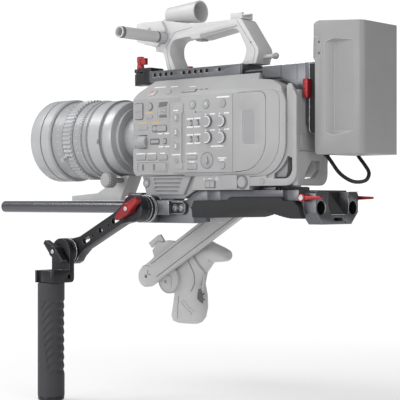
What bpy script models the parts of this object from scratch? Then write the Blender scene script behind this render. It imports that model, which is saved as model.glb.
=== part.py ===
"""Shoulder-mounted cinema camera rig, modelled piece by piece.

Units are metres. +X is the operator's left, -Y is the way the lens looks and +Z is up. The origin is on
the rear clamp's rear face, on the bar below its two bores. Heights in this file are measured from the
axes of the 15 mm rods, which lie ROD_HEIGHT above the origin: an empty lifts every part by that much.
"""

import math

import bmesh
import bpy
from mathutils import Matrix, Vector

# Driving dimensions
GAP = 0.0003
ROD_HEIGHT = 0.0088
ROD_RADIUS = 0.0075
ROD_X = 0.030
ROD_FRONT_Y = -0.528
ROD_LENGTH = 0.300
BASE_HALF_WIDTH = 0.045
BASE_BOTTOM_Z = -0.0185
DECK_TOP_Z = 0.0195
BASE_FRONT_Y = -0.263
BLOCK_REAR_Y = -0.1725
CLAMP_DEPTH = 0.019
CLAMP_LEVER_Z = 0.011
PAD_LOW_Z = 0.0075
PAD_HIGH_Z = 0.0115
PAD_BOTTOM_Z = -0.0118
PAD_HALF_WIDTH = 0.048
UPPER_PIVOT = Vector((0.0, -0.2360, -0.0015))
LOWER_PIVOT = Vector((0.0, -0.3425, -0.0540))
ROSETTE_RADIUS = 0.016
ARM_INNER_X = 0.0618
ARM_PLATE_X = 0.0690
ARM_OUTER_X = 0.0825
BRACKET_PLATE_X = 0.0905
GRIP_CENTRE = Vector((0.1130, -0.3430, 0.0))
GRIP_RADIUS = 0.01625
GRIP_TOP_Z = -0.0915
GRIP_BOTTOM_Z = -0.2280
PLATE_BOTTOM_Z = 0.1527
PLATE_TOP_Z = 0.1655
PLATE_FRONT_Y = -0.262
PLATE_REAR_Y = -0.117
BRACKET_ROD_X = 0.0185
BRACKET_ROD_Z = 0.1554
BRACKET_ROD_RADIUS = 0.0028
BRACKET_TOP_Z = 0.1590
BODY_LEFT_X = 0.050
BODY_RIGHT_X = -0.046
BODY_FRONT_Y = -0.2655
BODY_REAR_Y = -0.0335
BODY_TOP_Z = 0.1520
PANEL_X = BODY_LEFT_X + GAP
PANEL_FACE_X = 0.0530
LENS_Z = 0.0865
SLIDE_FRONT_Y = -0.0992
SLIDE_REAR_Y = -0.0625
SLIDE_HALF_WIDTH = 0.0305
SLIDE_TOP_Z = 0.0239
PLATE_HALF_WIDTH = 0.033
BATTERY_HALF_WIDTH = 0.0345
BATTERY_FRONT_Y = -0.0050
BATTERY_REAR_Y = 0.0580
BATTERY_BOTTOM_Z = 0.058
BATTERY_TOP_Z = 0.204
CAMERA_ARM_PIVOT = Vector((0.0, -0.138, 0.036))
CAMERA_ARM_END = Vector((0.0, -0.354, -0.092))

# Colours as linear RGB
RIG_GREY = (0.055, 0.057, 0.060)
RIG_BLACK = (0.012, 0.012, 0.013)
RIG_RED = (0.35, 0.02, 0.025)
RUBBER = (0.018, 0.018, 0.019)
CAMERA_GREY = (0.33, 0.33, 0.335)
CAMERA_DARK = (0.24, 0.24, 0.245)
CABLE_BLACK = (0.006, 0.006, 0.006)
GLASS_GREY = (0.20, 0.21, 0.22)

AXIS_TURN = {
    "X": Matrix.Rotation(math.radians(90), 4, "Y"),
    "Y": Matrix.Rotation(math.radians(-90), 4, "X"),
    "Z": Matrix.Identity(4),
}
# Columns: where an outline's first, second and extrusion directions point.
OUTLINE_FRAME = {
    "X": Matrix(((0, 0, 1, 0), (1, 0, 0, 0), (0, 1, 0, 0), (0, 0, 0, 1))),
    "Y": Matrix(((1, 0, 0, 0), (0, 0, -1, 0), (0, 1, 0, 0), (0, 0, 0, 1))),
    "Z": Matrix.Identity(4),
}

for old in list(bpy.data.objects):
    bpy.data.objects.remove(old)

PARTS = bpy.data.collections.new("cinema_camera_rig")
HELPERS = bpy.data.collections.new("cutters")
bpy.context.scene.collection.children.link(PARTS)
bpy.context.scene.collection.children.link(HELPERS)
DATUM = bpy.data.objects.new("rod_axes_datum", None)
DATUM.location.z = ROD_HEIGHT
PARTS.objects.link(DATUM)


# ---------------------------------------------------------------- materials


def make_material(name, colour, roughness, metallic):
    """A Principled BSDF with one colour, for pieces of one finish."""
    material = bpy.data.materials.new(name)
    material.use_nodes = True
    shader = material.node_tree.nodes["Principled BSDF"]
    shader.inputs["Base Color"].default_value = (*colour, 1.0)
    shader.inputs["Roughness"].default_value = roughness
    shader.inputs["Metallic"].default_value = metallic
    return material


FINISHES = {
    "rig_metal": (RIG_GREY, 0.45, 0.7),
    "black_metal": (RIG_BLACK, 0.4, 0.6),
    "red_metal": (RIG_RED, 0.35, 0.6),
    "rubber": (RUBBER, 0.8, 0.0),
    "camera_shell": (CAMERA_GREY, 0.5, 0.0),
    "camera_dark": (CAMERA_DARK, 0.55, 0.0),
    "cable": (CABLE_BLACK, 0.5, 0.0),
    "glass": (GLASS_GREY, 0.08, 0.0),
}


# ---------------------------------------------------------------- shapes


def helper(name, mesh):
    """A mesh object kept among the cutters until a sub-part takes it."""
    obj = bpy.data.objects.new(name, mesh)
    obj.parent = DATUM
    obj.hide_render = True
    obj.display_type = "WIRE"
    HELPERS.objects.link(obj)
    return obj


def baked(source):
    """The evaluated object as a closed mesh in its drawn place; the source is removed."""
    bpy.context.view_layer.update()
    graph = bpy.context.evaluated_depsgraph_get()
    mesh = bpy.data.meshes.new_from_object(source.evaluated_get(graph))
    mesh.transform(source.matrix_world)
    welded = bmesh.new()
    welded.from_mesh(mesh)
    bmesh.ops.remove_doubles(welded, verts=welded.verts, dist=1e-6)
    bmesh.ops.recalc_face_normals(welded, faces=welded.faces)
    welded.to_mesh(mesh)
    welded.free()
    name = source.name
    bpy.data.objects.remove(source)
    return helper(name, mesh)


def box(low, high):
    """An axis-aligned box between two corners."""
    low = Vector(low)
    high = Vector(high)
    shape = bmesh.new()
    bmesh.ops.create_cube(shape, size=1.0)
    shape.transform(Matrix.Translation((low + high) / 2) @ Matrix.Diagonal((*(high - low), 1.0)))
    mesh = bpy.data.meshes.new("box")
    shape.to_mesh(mesh)
    shape.free()
    return helper("box", mesh)


def cylinder(axis, centre, radius, low, high, segments=24, end_radius=None):
    """A cylinder, or a cone frustum, along a world axis; low and high are places on that axis."""
    shape = bmesh.new()
    bmesh.ops.create_cone(
        shape,
        cap_ends=True,
        segments=segments,
        radius1=radius,
        radius2=radius if end_radius is None else end_radius,
        depth=high - low,
    )
    place = Vector(centre)
    place["XYZ".index(axis)] = (low + high) / 2
    shape.transform(Matrix.Translation(place) @ AXIS_TURN[axis])
    mesh = bpy.data.meshes.new("cylinder")
    shape.to_mesh(mesh)
    shape.free()
    return helper("cylinder", mesh)


def filleted(corners, steps=4):
    """A closed outline from corners (u, v) or (u, v, radius); a radius turns its corner into an arc."""
    outline = []
    for index, corner in enumerate(corners):
        point = Vector(corner[:2])
        if len(corner) == 2:
            outline.append(tuple(point))
            continue
        before = Vector(corners[index - 1][:2]) - point
        after = Vector(corners[(index + 1) % len(corners)][:2]) - point
        turn = before.angle(after)
        reach = corner[2] / math.tan(turn / 2)
        start = point + before.normalized() * reach
        end = point + after.normalized() * reach
        centre = point + (before.normalized() + after.normalized()).normalized() * (
            corner[2] / math.sin(turn / 2)
        )
        sweep = (start - centre).angle_signed(end - centre)
        for step in range(steps + 1):
            arm = (start - centre).copy()
            arm.rotate(Matrix.Rotation(-sweep * step / steps, 2))
            outline.append(tuple(centre + arm))
    return outline


def arc(centre, radii, start_degrees, end_degrees, steps=8):
    """Points on an ellipse's arc."""
    points = []
    for step in range(steps + 1):
        angle = math.radians(start_degrees + (end_degrees - start_degrees) * step / steps)
        points.append((centre[0] + radii[0] * math.cos(angle), centre[1] + radii[1] * math.sin(angle)))
    return points


def prism(axis, outline, low, high):
    """An outline extruded along an axis: (Y, Z) along X, (X, Z) along Y or (X, Y) along Z."""
    curve = bpy.data.curves.new("prism", "CURVE")
    curve.dimensions = "2D"
    curve.fill_mode = "BOTH"
    curve.extrude = (high - low) / 2
    spline = curve.splines.new("POLY")
    spline.points.add(len(outline) - 1)
    for point, (u, v) in zip(spline.points, outline):
        point.co = (u, v, 0.0, 1.0)
    spline.use_cyclic_u = True
    flat = bpy.data.objects.new("prism", curve)
    place = Vector()
    place["XYZ".index(axis)] = (low + high) / 2
    flat.matrix_world = Matrix.Translation(place) @ OUTLINE_FRAME[axis]
    HELPERS.objects.link(flat)
    return baked(flat)


def turned(axis, centre, profile, steps=32, closed=False):
    """A profile of (radius, place along the axis) turned about that axis through the centre.

    An open profile starts and ends on the axis; a closed one makes a ring.
    """
    mesh = bpy.data.meshes.new("turned")
    edges = [(i, i + 1) for i in range(len(profile) - 1)]
    if closed:
        edges.append((len(profile) - 1, 0))
    mesh.from_pydata([(radius, 0.0, along) for radius, along in profile], edges, [])
    blank = bpy.data.objects.new("turned", mesh)
    HELPERS.objects.link(blank)
    screw = blank.modifiers.new("Screw", "SCREW")
    screw.axis = "Z"
    screw.steps = steps
    screw.render_steps = steps
    screw.use_merge_vertices = True
    screw.merge_threshold = 0.00001
    place = Vector(centre)
    place["XYZ".index(axis)] = 0.0
    blank.matrix_world = Matrix.Translation(place) @ AXIS_TURN[axis]
    return baked(blank)


def dumbbell(first, second, first_radius, second_radius, half_width, neck=0.024, steps=10):
    """The side outline of a flat link: a round eye at each end and a narrower bar between them."""
    along = (second - first).normalized()
    across = Vector((-along.y, along.x))
    outline = []
    for centre, radius, way in ((second, second_radius, 1), (first, first_radius, -1)):
        opening = math.radians(50)
        outline.append(tuple(centre - along * way * neck - across * way * half_width))
        for step in range(steps + 1):
            angle = -(math.pi - opening) + 2 * (math.pi - opening) * step / steps
            forward = along * way * radius * math.cos(angle)
            sideways = across * way * radius * math.sin(angle)
            outline.append(tuple(centre + forward + sideways))
        outline.append(tuple(centre - along * way * neck + across * way * half_width))
    return outline


def wing(centre, degrees, half_length, root=0.0062, tip=0.0030):
    """The side outline of a two-winged clamping lever turned by an angle."""
    shape = [
        (-half_length, -tip),
        (-half_length, tip * 0.6),
        (-0.0055, root * 0.8),
        (0.0, root),
        (half_length, tip),
        (half_length, -tip * 0.6),
        (0.0055, -root * 0.8),
        (0.0, -root),
    ]
    turn = math.radians(degrees)
    return [
        (
            centre.y + u * math.cos(turn) - v * math.sin(turn),
            centre.z + u * math.sin(turn) + v * math.cos(turn),
        )
        for u, v in shape
    ]


def hull(points):
    """The convex solid around a set of points."""
    shape = bmesh.new()
    for point in points:
        shape.verts.new(point)
    made = bmesh.ops.convex_hull(shape, input=shape.verts)
    unused = [item for item in made["geom_interior"] if isinstance(item, bmesh.types.BMVert)]
    bmesh.ops.delete(shape, geom=unused, context="VERTS")
    bmesh.ops.recalc_face_normals(shape, faces=shape.faces)
    mesh = bpy.data.meshes.new("hull")
    shape.to_mesh(mesh)
    shape.free()
    return helper("hull", mesh)


def build(name, finish, shapes, cuts=(), origin=(0.0, 0.0, 0.0), within=()):
    """One sub-part: the shapes joined, kept within an envelope, the cutters taken away, the origin set."""
    solid = shapes[0]
    HELPERS.objects.unlink(solid)
    PARTS.objects.link(solid)
    solid.name = name
    solid.data.name = name
    solid.hide_render = False
    solid.display_type = "TEXTURED"
    solid.data.transform(Matrix.Translation(-Vector(origin)))
    solid.location = origin
    for operation, others in (("UNION", shapes[1:]), ("INTERSECT", within), ("DIFFERENCE", cuts)):
        for other in others:
            other.name = name + "_" + operation.lower()
            boolean = solid.modifiers.new(operation.title(), "BOOLEAN")
            boolean.operation = operation
            boolean.solver = "EXACT"
            boolean.object = other
    solid.data.materials.clear()
    solid.data.materials.append(make_material(name, *FINISHES[finish]))
    solid.data.shade_smooth()
    solid.data.set_sharp_from_angle(angle=math.radians(30))
    return solid


# ---------------------------------------------------------------- shoulder base and rods


def pad_outline():
    """The pad's side view: stepped top, rounded ends and the arch that sits on the shoulder."""
    arch_front, arch_rear, arch_height = -0.141, -0.026, 0.0108
    steps = 16
    arch = []
    for step in range(steps + 1):
        share = step / steps
        lift = math.sin(math.pi * share ** 0.93) ** 1.6 * arch_height
        arch.append((arch_front + (arch_rear - arch_front) * share, PAD_BOTTOM_Z + lift))
    front = BLOCK_REAR_Y + GAP
    top = filleted(
        [
            (-0.0090, PAD_BOTTOM_Z),
            (-0.0140, 0.0010),
            (-0.0215, PAD_LOW_Z, 0.003),
            (-0.038, PAD_LOW_Z),
            (-0.042, PAD_HIGH_Z),
            (-0.1165, PAD_HIGH_Z),
            (-0.1195, PAD_LOW_Z),
            (front, PAD_LOW_Z, 0.006),
            (front, PAD_BOTTOM_Z, 0.002),
        ]
    )
    return top + arch


def shoulder_base():
    """The machined chassis: a tall front block, a sloped step and the flat deck over the pad."""
    deck_rear = -CLAMP_DEPTH - GAP
    low = PAD_LOW_Z + GAP
    high = PAD_HIGH_Z + GAP
    side = filleted(
        [
            (BASE_FRONT_Y, BASE_BOTTOM_Z),
            (BLOCK_REAR_Y, BASE_BOTTOM_Z),
            (BLOCK_REAR_Y, low),
            (-0.1197, low),
            (-0.1167, high),
            (-0.0418, high),
            (-0.0378, low),
            (deck_rear, low),
            (deck_rear, DECK_TOP_Z),
            (-0.165, DECK_TOP_Z, 0.010),
            (-0.184, 0.0085, 0.010),
            (BASE_FRONT_Y, 0.0085),
        ]
    )
    body = prism("X", side, -BASE_HALF_WIDTH, BASE_HALF_WIDTH)
    bore_end = -0.176
    cuts = [
        cylinder("Y", (x, 0, 0), ROD_RADIUS + GAP, BASE_FRONT_Y - 0.001, bore_end, 32)
        for x in (-ROD_X, ROD_X)
    ]
    hollow_front, hollow_left = -0.225, 0.0228
    cuts.append(box((-0.046, hollow_front, -0.020), (hollow_left, -0.170, PAD_BOTTOM_Z)))
    pin_y, pin_z, pin_radius = -0.1755, -0.0005, 0.0011
    groove_depth, groove_half_width = 0.0005, 0.0012
    for side_x in (-BASE_HALF_WIDTH, BASE_HALF_WIDTH):
        cuts.append(cylinder("X", (0, pin_y, pin_z), pin_radius, side_x - 0.003, side_x + 0.003, 12))
        for groove_y in (-0.151, -0.1315, -0.036):
            low_corner = (side_x - groove_depth, groove_y - groove_half_width, 0.006)
            high_corner = (side_x + groove_depth, groove_y + groove_half_width, 0.022)
            cuts.append(box(low_corner, high_corner))
    build("shoulder_base", "rig_metal", [body], cuts)


def shoulder_pad():
    """The rubber pad under the deck, with an arch across it for the shoulder."""
    pad = prism("X", pad_outline(), -PAD_HALF_WIDTH, PAD_HALF_WIDTH)
    clearance = box((-0.0403, -CLAMP_DEPTH - GAP, -0.030), (0.0403, 0.010, 0.030))
    build("shoulder_pad", "rubber", [pad], [clearance])


def clamp_outline():
    """The rod clamps' end view: square ears above, chamfered corners below."""
    return [
        (0.0400, 0.0155),
        (0.0375, 0.0176),
        (-0.0375, 0.0176),
        (-0.0400, 0.0155),
        (-0.0400, -0.0050),
        (-0.0270, -0.0183),
        (0.0270, -0.0183),
        (0.0400, -0.0050),
    ]


def rear_rod_clamp():
    """The rear clamp: two open 15 mm bores, a recess between them and a slit beside each."""
    body = prism("Y", clamp_outline(), -CLAMP_DEPTH, 0.0)
    cuts = [cylinder("Y", (x, 0, 0), ROD_RADIUS + GAP, -0.020, 0.001, 32) for x in (-ROD_X, ROD_X)]
    recess = [
        (0.0165, 0.0190),
        (0.0165, 0.0009),
        (0.0118, -0.0072),
        (-0.0200, -0.0072),
        (-0.0212, -0.0055),
        (-0.0212, 0.0190),
    ]
    cuts.append(prism("Y", recess, -0.0125, 0.001))
    cuts.append(box((-0.0110, -0.0120, -0.0148), (0.0070, 0.001, -0.0105)))
    cuts.append(box((-0.0185, -0.0120, -0.0190), (-0.0140, 0.001, -0.0145)))
    for side in (-1, 1):
        low, high = sorted((side * 0.0383, side * 0.0410))
        cuts.append(box((low, -0.0156, -0.0075), (high, -0.0144, 0.0055)))
    build("rear_rod_clamp", "rig_metal", [body], cuts)


def front_rod_clamp():
    """The front clamp, which grips the two forward rods."""
    front, rear = -0.285, BASE_FRONT_Y - GAP
    body = prism("Y", clamp_outline(), front, rear)
    cuts = [
        cylinder("Y", (x, 0, 0), ROD_RADIUS + GAP, front - 0.001, rear + 0.001, 32)
        for x in (-ROD_X, ROD_X)
    ]
    cuts.append(box((-0.0190, front - 0.001, 0.0085), (0.0190, rear + 0.001, 0.019)))
    build("front_rod_clamp", "rig_metal", [body], cuts)


def clamp_lever(name, side, pivot_y, degrees):
    """A red clamp lever: a round hub against the clamp's side and one long flat arm."""
    pivot = Vector((side * 0.0403, pivot_y, CLAMP_LEVER_Z))
    turn = math.radians(degrees)
    arm_points = [(0.0, 0.0024), (0.0245, 0.0013), (0.0255, 0.0), (0.0245, -0.0013), (0.0, -0.0024)]
    outline = [
        (
            pivot.y + u * math.cos(turn) - v * math.sin(turn),
            pivot.z + u * math.sin(turn) + v * math.cos(turn),
        )
        for u, v in arm_points
    ]
    hub_low, hub_high = sorted((side * 0.0403, side * 0.0520))
    arm_low, arm_high = sorted((side * 0.0460, side * 0.0505))
    hub = cylinder("X", pivot, 0.0043, hub_low, hub_high, 24)
    arm = prism("X", outline, arm_low, arm_high)
    build(name, "red_metal", [hub, arm], origin=pivot)


def support_rod(name, x):
    """A 15 mm rod with chamfered ends."""
    rear_y = ROD_FRONT_Y + ROD_LENGTH
    chamfer = 0.0010
    profile = [
        (0.0, rear_y),
        (ROD_RADIUS - chamfer, rear_y),
        (ROD_RADIUS, rear_y - chamfer),
        (ROD_RADIUS, ROD_FRONT_Y + chamfer),
        (ROD_RADIUS - chamfer, ROD_FRONT_Y),
        (0.0, ROD_FRONT_Y),
    ]
    rod = turned("Y", (x, 0, 0), profile, 32)
    build(name, "black_metal", [rod], origin=(x, ROD_FRONT_Y, 0.0))


def camera_slide_plate():
    """The quick-release plate between the deck and the camera, with a thinner tail."""
    bottom = DECK_TOP_Z + GAP
    main = filleted(
        [
            (SLIDE_FRONT_Y, bottom),
            (SLIDE_REAR_Y, bottom),
            (SLIDE_REAR_Y, SLIDE_TOP_Z),
            (SLIDE_FRONT_Y + 0.0050, SLIDE_TOP_Z, 0.003),
        ]
    )
    tail_rear, tail_half_width = -0.0586, 0.0250
    shapes = [
        prism("X", main, -SLIDE_HALF_WIDTH, SLIDE_HALF_WIDTH),
        box((-tail_half_width, SLIDE_REAR_Y - 0.0005, bottom), (tail_half_width, tail_rear, 0.0232)),
    ]
    build("camera_slide_plate", "rig_metal", shapes)


# ---------------------------------------------------------------- side arm and hand grip


def side_rosette():
    """The bracket on the base's left side that carries the toothed rosette."""
    inner = BASE_HALF_WIDTH + GAP
    disc = cylinder("X", UPPER_PIVOT, ROSETTE_RADIUS, inner, 0.0590, 32)
    boss = cylinder("X", UPPER_PIVOT, 0.0130, 0.0580, 0.0615, 24)
    block = box((inner, -0.2320, -0.0088), (0.0550, -0.2030, 0.0078))
    plate_outline = filleted(
        [
            (-0.2060, -0.0080),
            (-0.1850, -0.0080),
            (-0.1810, -0.0040),
            (-0.1810, 0.0030),
            (-0.1850, 0.0070),
            (-0.2060, 0.0070),
        ]
    )
    plate = prism("X", plate_outline, inner, 0.0500)
    build("side_rosette", "black_metal", [disc, boss, block, plate])


def extension_arm():
    """The pierced arm between the base's rosette and the grip's rosette."""
    upper = Vector((UPPER_PIVOT.y, UPPER_PIVOT.z))
    lower = Vector((LOWER_PIVOT.y, LOWER_PIVOT.z))
    outline = dumbbell(lower, upper, ROSETTE_RADIUS, ROSETTE_RADIUS, 0.0086)
    link = prism("X", outline, ARM_PLATE_X, ARM_OUTER_X)
    hub = cylinder("X", UPPER_PIVOT, ROSETTE_RADIUS, 0.0640, ARM_PLATE_X + 0.0005, 32)
    teeth = cylinder("X", UPPER_PIVOT, 0.0130, ARM_INNER_X, 0.0650, 24)
    lower_teeth = cylinder("X", LOWER_PIVOT, 0.0130, 0.0815, 0.0835, 24)
    along = (upper - lower).normalized()
    across = Vector((-along.y, along.x))

    def slot(start, end, radius):
        outline_points = []
        for centre, way in ((end, 1), (start, -1)):
            middle = lower + along * centre
            for step in range(9):
                angle = math.radians(-90 + 180 * step / 8)
                forward = along * way * radius * math.cos(angle)
                sideways = across * way * radius * math.sin(angle)
                outline_points.append(tuple(middle + forward + sideways))
        return prism("X", outline_points, 0.060, 0.090)

    channel = dumbbell(lower + along * 0.020, upper - along * 0.020, 0.0058, 0.0058, 0.0058)

    def hole(place, radius):
        middle = lower + along * place
        return cylinder("X", (0, middle.x, middle.y), radius, 0.060, 0.090, 16)

    cuts = [
        slot(0.0285, 0.0360, 0.0033),
        hole(0.0440, 0.0016),
        hole(0.0595, 0.0034),
        hole(0.0745, 0.0016),
        slot(0.0845, 0.0935, 0.0033),
        prism("X", channel, 0.060, 0.0768),
    ]
    build("extension_arm", "black_metal", [link, hub, teeth, lower_teeth], cuts, origin=UPPER_PIVOT)


def arm_lever():
    """The red two-winged lever that clamps the upper rosette."""
    shaft = cylinder("X", UPPER_PIVOT, 0.0062, ARM_OUTER_X + GAP, 0.0935, 24)
    wings = prism("X", wing(UPPER_PIVOT, 33, 0.0205), 0.0850, 0.0930)
    build("arm_lever", "red_metal", [shaft, wings], origin=UPPER_PIVOT)


def grip_bracket():
    """The L-shaped bracket: a round-topped upright on the lower rosette and a foot over the grip."""
    y, z = LOWER_PIVOT.y, LOWER_PIVOT.z
    rear, front, bottom = y + 0.0160, y - 0.0160, -0.0912
    upright_outline = [(front, bottom), (rear, bottom)] + arc((y, z), (0.0160, 0.0160), 0, 180, 12)
    upright = prism("X", upright_outline, BRACKET_PLATE_X, 0.0980)
    rosette = cylinder("X", LOWER_PIVOT, 0.0155, 0.0858, 0.0915, 32)
    teeth = cylinder("X", LOWER_PIVOT, 0.0130, 0.0838, 0.0865, 24)
    foot_outline = filleted(
        [
            (BRACKET_PLATE_X, front - 0.0015, 0.003),
            (0.1260, front - 0.0015, 0.004),
            (0.1260, rear, 0.004),
            (BRACKET_PLATE_X, rear, 0.003),
        ]
    )
    foot = prism("Z", foot_outline, bottom, -0.0765)
    corner_centre = (BRACKET_PLATE_X + 0.0050, bottom + 0.0050)
    corner = arc(corner_centre, (0.0050, 0.0050), 180, 270, 6)
    corner += [(BRACKET_PLATE_X + 0.0050, bottom - 0.001), (BRACKET_PLATE_X - 0.001, bottom - 0.001)]
    corner += [(BRACKET_PLATE_X - 0.001, bottom + 0.0050)]
    groove = [(0.1232, -0.3555), (0.1270, -0.3540), (0.1270, -0.3465), (0.1232, -0.3450)]
    cuts = [
        prism("Z", groove, bottom - 0.001, -0.070),
        cylinder("Y", (0.0985, 0, -0.0840), 0.0027, y, rear + 0.002, 16),
        prism("Y", corner, front - 0.004, rear + 0.002),
    ]
    build("grip_bracket", "black_metal", [upright, rosette, teeth, foot], cuts, origin=LOWER_PIVOT)


def bracket_lever():
    """The black two-winged lever that clamps the lower rosette."""
    shaft = cylinder("X", LOWER_PIVOT, 0.0065, 0.0983, 0.1115, 24)
    wings = prism("X", wing(LOWER_PIVOT, -39, 0.0195), 0.1030, 0.1110)
    build("bracket_lever", "black_metal", [shaft, wings], origin=LOWER_PIVOT)


def hand_grip():
    """A rubber sleeve over a metal core, closed by an end cap."""
    sleeve = turned(
        "Z",
        GRIP_CENTRE,
        [
            (0.0120, GRIP_TOP_Z),
            (GRIP_RADIUS - 0.0006, GRIP_TOP_Z),
            (GRIP_RADIUS, GRIP_TOP_Z - 0.0006),
            (GRIP_RADIUS, GRIP_BOTTOM_Z),
            (0.0120, GRIP_BOTTOM_Z),
        ],
        40,
        closed=True,
    )
    build("hand_grip", "rubber", [sleeve], origin=GRIP_CENTRE)
    core = cylinder("Z", GRIP_CENTRE, 0.0117, GRIP_BOTTOM_Z, GRIP_TOP_Z, 32)
    build("grip_core", "black_metal", [core], origin=GRIP_CENTRE)
    cap = turned(
        "Z",
        GRIP_CENTRE,
        [
            (0.0, GRIP_BOTTOM_Z - GAP),
            (GRIP_RADIUS - 0.0003, GRIP_BOTTOM_Z - GAP),
            (GRIP_RADIUS - 0.0003, GRIP_BOTTOM_Z - 0.0040),
            (GRIP_RADIUS - 0.0020, GRIP_BOTTOM_Z - 0.0055),
            (0.0, GRIP_BOTTOM_Z - 0.0055),
        ],
        40,
    )
    build("grip_end_cap", "black_metal", [cap], origin=GRIP_CENTRE)


# ---------------------------------------------------------------- top plate, battery bracket and battery


def top_plate():
    """The bar on top of the camera, with rows of threaded holes along its sides."""
    plan = [
        (0.0250, PLATE_FRONT_Y),
        (0.0250, PLATE_REAR_Y - 0.0020),
        (0.0230, PLATE_REAR_Y),
        (-0.0230, PLATE_REAR_Y),
        (-0.0250, PLATE_REAR_Y - 0.0020),
        (-0.0250, PLATE_FRONT_Y),
    ]
    body = prism("Z", plan, PLATE_BOTTOM_Z, PLATE_TOP_Z)
    front_row = [-0.2535 + 0.0091 * step for step in range(4)]
    middle_row = [-0.2060 + 0.0091 * step for step in range(5)]
    cuts = []
    for y in front_row + middle_row + [-0.1500]:
        for side in (-1, 1):
            low, high = sorted((side * 0.0200, side * 0.0260))
            cuts.append(cylinder("X", (0, y, 0.1607), 0.0027, low, high, 12))
    for x in (-BRACKET_ROD_X, BRACKET_ROD_X):
        cuts.append(cylinder("Y", (x, 0, BRACKET_ROD_Z), BRACKET_ROD_RADIUS + GAP, -0.175, -0.110, 20))
    cuts.append(cylinder("Z", (0, -0.218, 0), 0.0015 + GAP, 0.1590, 0.1700, 12))
    build("top_plate", "rig_metal", [body], cuts)


def top_rod_clamp():
    """The small split clamp at the front of the top plate."""
    rear = PLATE_FRONT_Y - GAP
    side = [
        (-0.2960, 0.1505),
        (-0.2700, 0.1505),
        (rear, 0.1555),
        (rear, 0.1709),
        (-0.2990, 0.1709),
        (-0.2990, 0.1664),
        (-0.2760, 0.1664),
        (-0.2760, 0.1646),
        (-0.3000, 0.1646),
        (-0.3000, 0.1550),
    ]
    plan = [(0.0000, -0.2720), (0.0000, rear + 0.001), (0.0235, rear + 0.001), (0.0235, -0.2720)]
    plan += arc((0.0120, -0.2900), (0.0070, 0.0070), 0, -180, 12)
    body = prism("X", side, 0.0000, 0.0235)
    ear = prism("Z", plan, 0.1450, 0.1750)
    post_hole = cylinder("Z", (0.0120, -0.2900, 0), 0.0032 + GAP, 0.1480, 0.1750, 16)
    build("top_rod_clamp", "black_metal", [body], [post_hole], within=[ear])


def top_clamp_lever():
    """The red upright lever whose post squeezes the small clamp."""
    centre = Vector((0.0120, -0.2900, 0.1712))
    post = cylinder("Z", centre, 0.0032, 0.1530, 0.1740, 16)
    head = cylinder("Z", centre, 0.0041, 0.1712, 0.1865, 24)
    tab = box((0.0095, -0.2900, 0.1765), (0.0145, -0.2800, 0.1845))
    build("top_clamp_lever", "red_metal", [head, post, tab], origin=centre)


def plate_thumb_screw():
    """The small red screw in the top plate, inside the handle's opening."""
    centre = Vector((0.0, -0.218, PLATE_TOP_Z + GAP))
    head = cylinder("Z", centre, 0.0021, PLATE_TOP_Z + GAP, 0.1706, 20, end_radius=0.0032)
    shaft = cylinder("Z", centre, 0.0015, 0.1600, 0.1670, 12)
    build("plate_thumb_screw", "red_metal", [head, shaft], origin=centre)


def bracket_rod(name, x):
    """One of the two short rods that carry the battery bracket."""
    rod = cylinder("Y", (x, 0, BRACKET_ROD_Z), BRACKET_ROD_RADIUS, -0.1650, -0.0600, 20)
    build(name, "black_metal", [rod])


def battery_bracket():
    """The bracket that reaches from the short rods over the camera's rear edge."""
    side = [
        (-0.0792, BRACKET_TOP_Z),
        (-0.0792, 0.1462),
        (-0.0532, 0.1450),
        (-0.0455, 0.1397),
        (-0.0380, 0.1383),
        (-0.0330, 0.1300),
        (-0.0190, 0.1300),
        (-0.0190, BRACKET_TOP_Z),
    ]
    body = prism("X", side, -PLATE_HALF_WIDTH, PLATE_HALF_WIDTH)
    cuts = [
        cylinder("Y", (x, 0, BRACKET_ROD_Z), BRACKET_ROD_RADIUS + GAP, -0.0800, -0.0590, 20)
        for x in (-BRACKET_ROD_X, BRACKET_ROD_X)
    ]
    cuts.append(box((-0.0140, -0.0800, 0.1440), (0.0140, -0.0450, 0.1610)))
    build("battery_bracket", "rig_metal", [body], cuts)


def battery_plate():
    """The upright plate that the battery slides on to."""
    side = [
        (-0.0187, BRACKET_TOP_Z),
        (-0.0187, 0.0920),
        (-0.0160, 0.0900),
        (-0.0120, 0.0820),
        (-0.0055, 0.0795),
        (-0.0055, BRACKET_TOP_Z),
    ]
    body = prism("X", side, -PLATE_HALF_WIDTH, PLATE_HALF_WIDTH)
    build("battery_plate", "rig_metal", [body])


def battery_release_lever():
    """The red lever on the plate's left edge that frees the battery."""
    side = filleted(
        [
            (-0.0174, 0.1198, 0.0015),
            (-0.0112, 0.1198, 0.0015),
            (-0.0112, 0.1408, 0.0015),
            (-0.0174, 0.1408, 0.0015),
        ]
    )
    origin = Vector((PLATE_HALF_WIDTH + GAP, -0.0143, 0.1303))
    body = prism("X", side, PLATE_HALF_WIDTH + GAP, 0.0400)
    build("battery_release_lever", "red_metal", [body], origin=origin)


def finger_recess(side):
    """The cutter for a faceted finger pocket in the battery's side."""
    skin = side * BATTERY_HALF_WIDTH
    above = side * (BATTERY_HALF_WIDTH + 0.002)
    floor = side * (BATTERY_HALF_WIDTH - 0.0045)
    rim = [
        (0.0083, 0.0826),
        (0.0192, 0.0784),
        (0.0462, 0.0825),
        (0.0462, 0.1785),
        (0.0192, 0.1823),
        (0.0083, 0.1787),
    ]
    points = [(x, y, z) for y, z in rim for x in (skin, above)]
    points += [(floor, 0.0176, 0.0826), (floor, 0.0176, 0.1785)]
    return hull(points)


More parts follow.
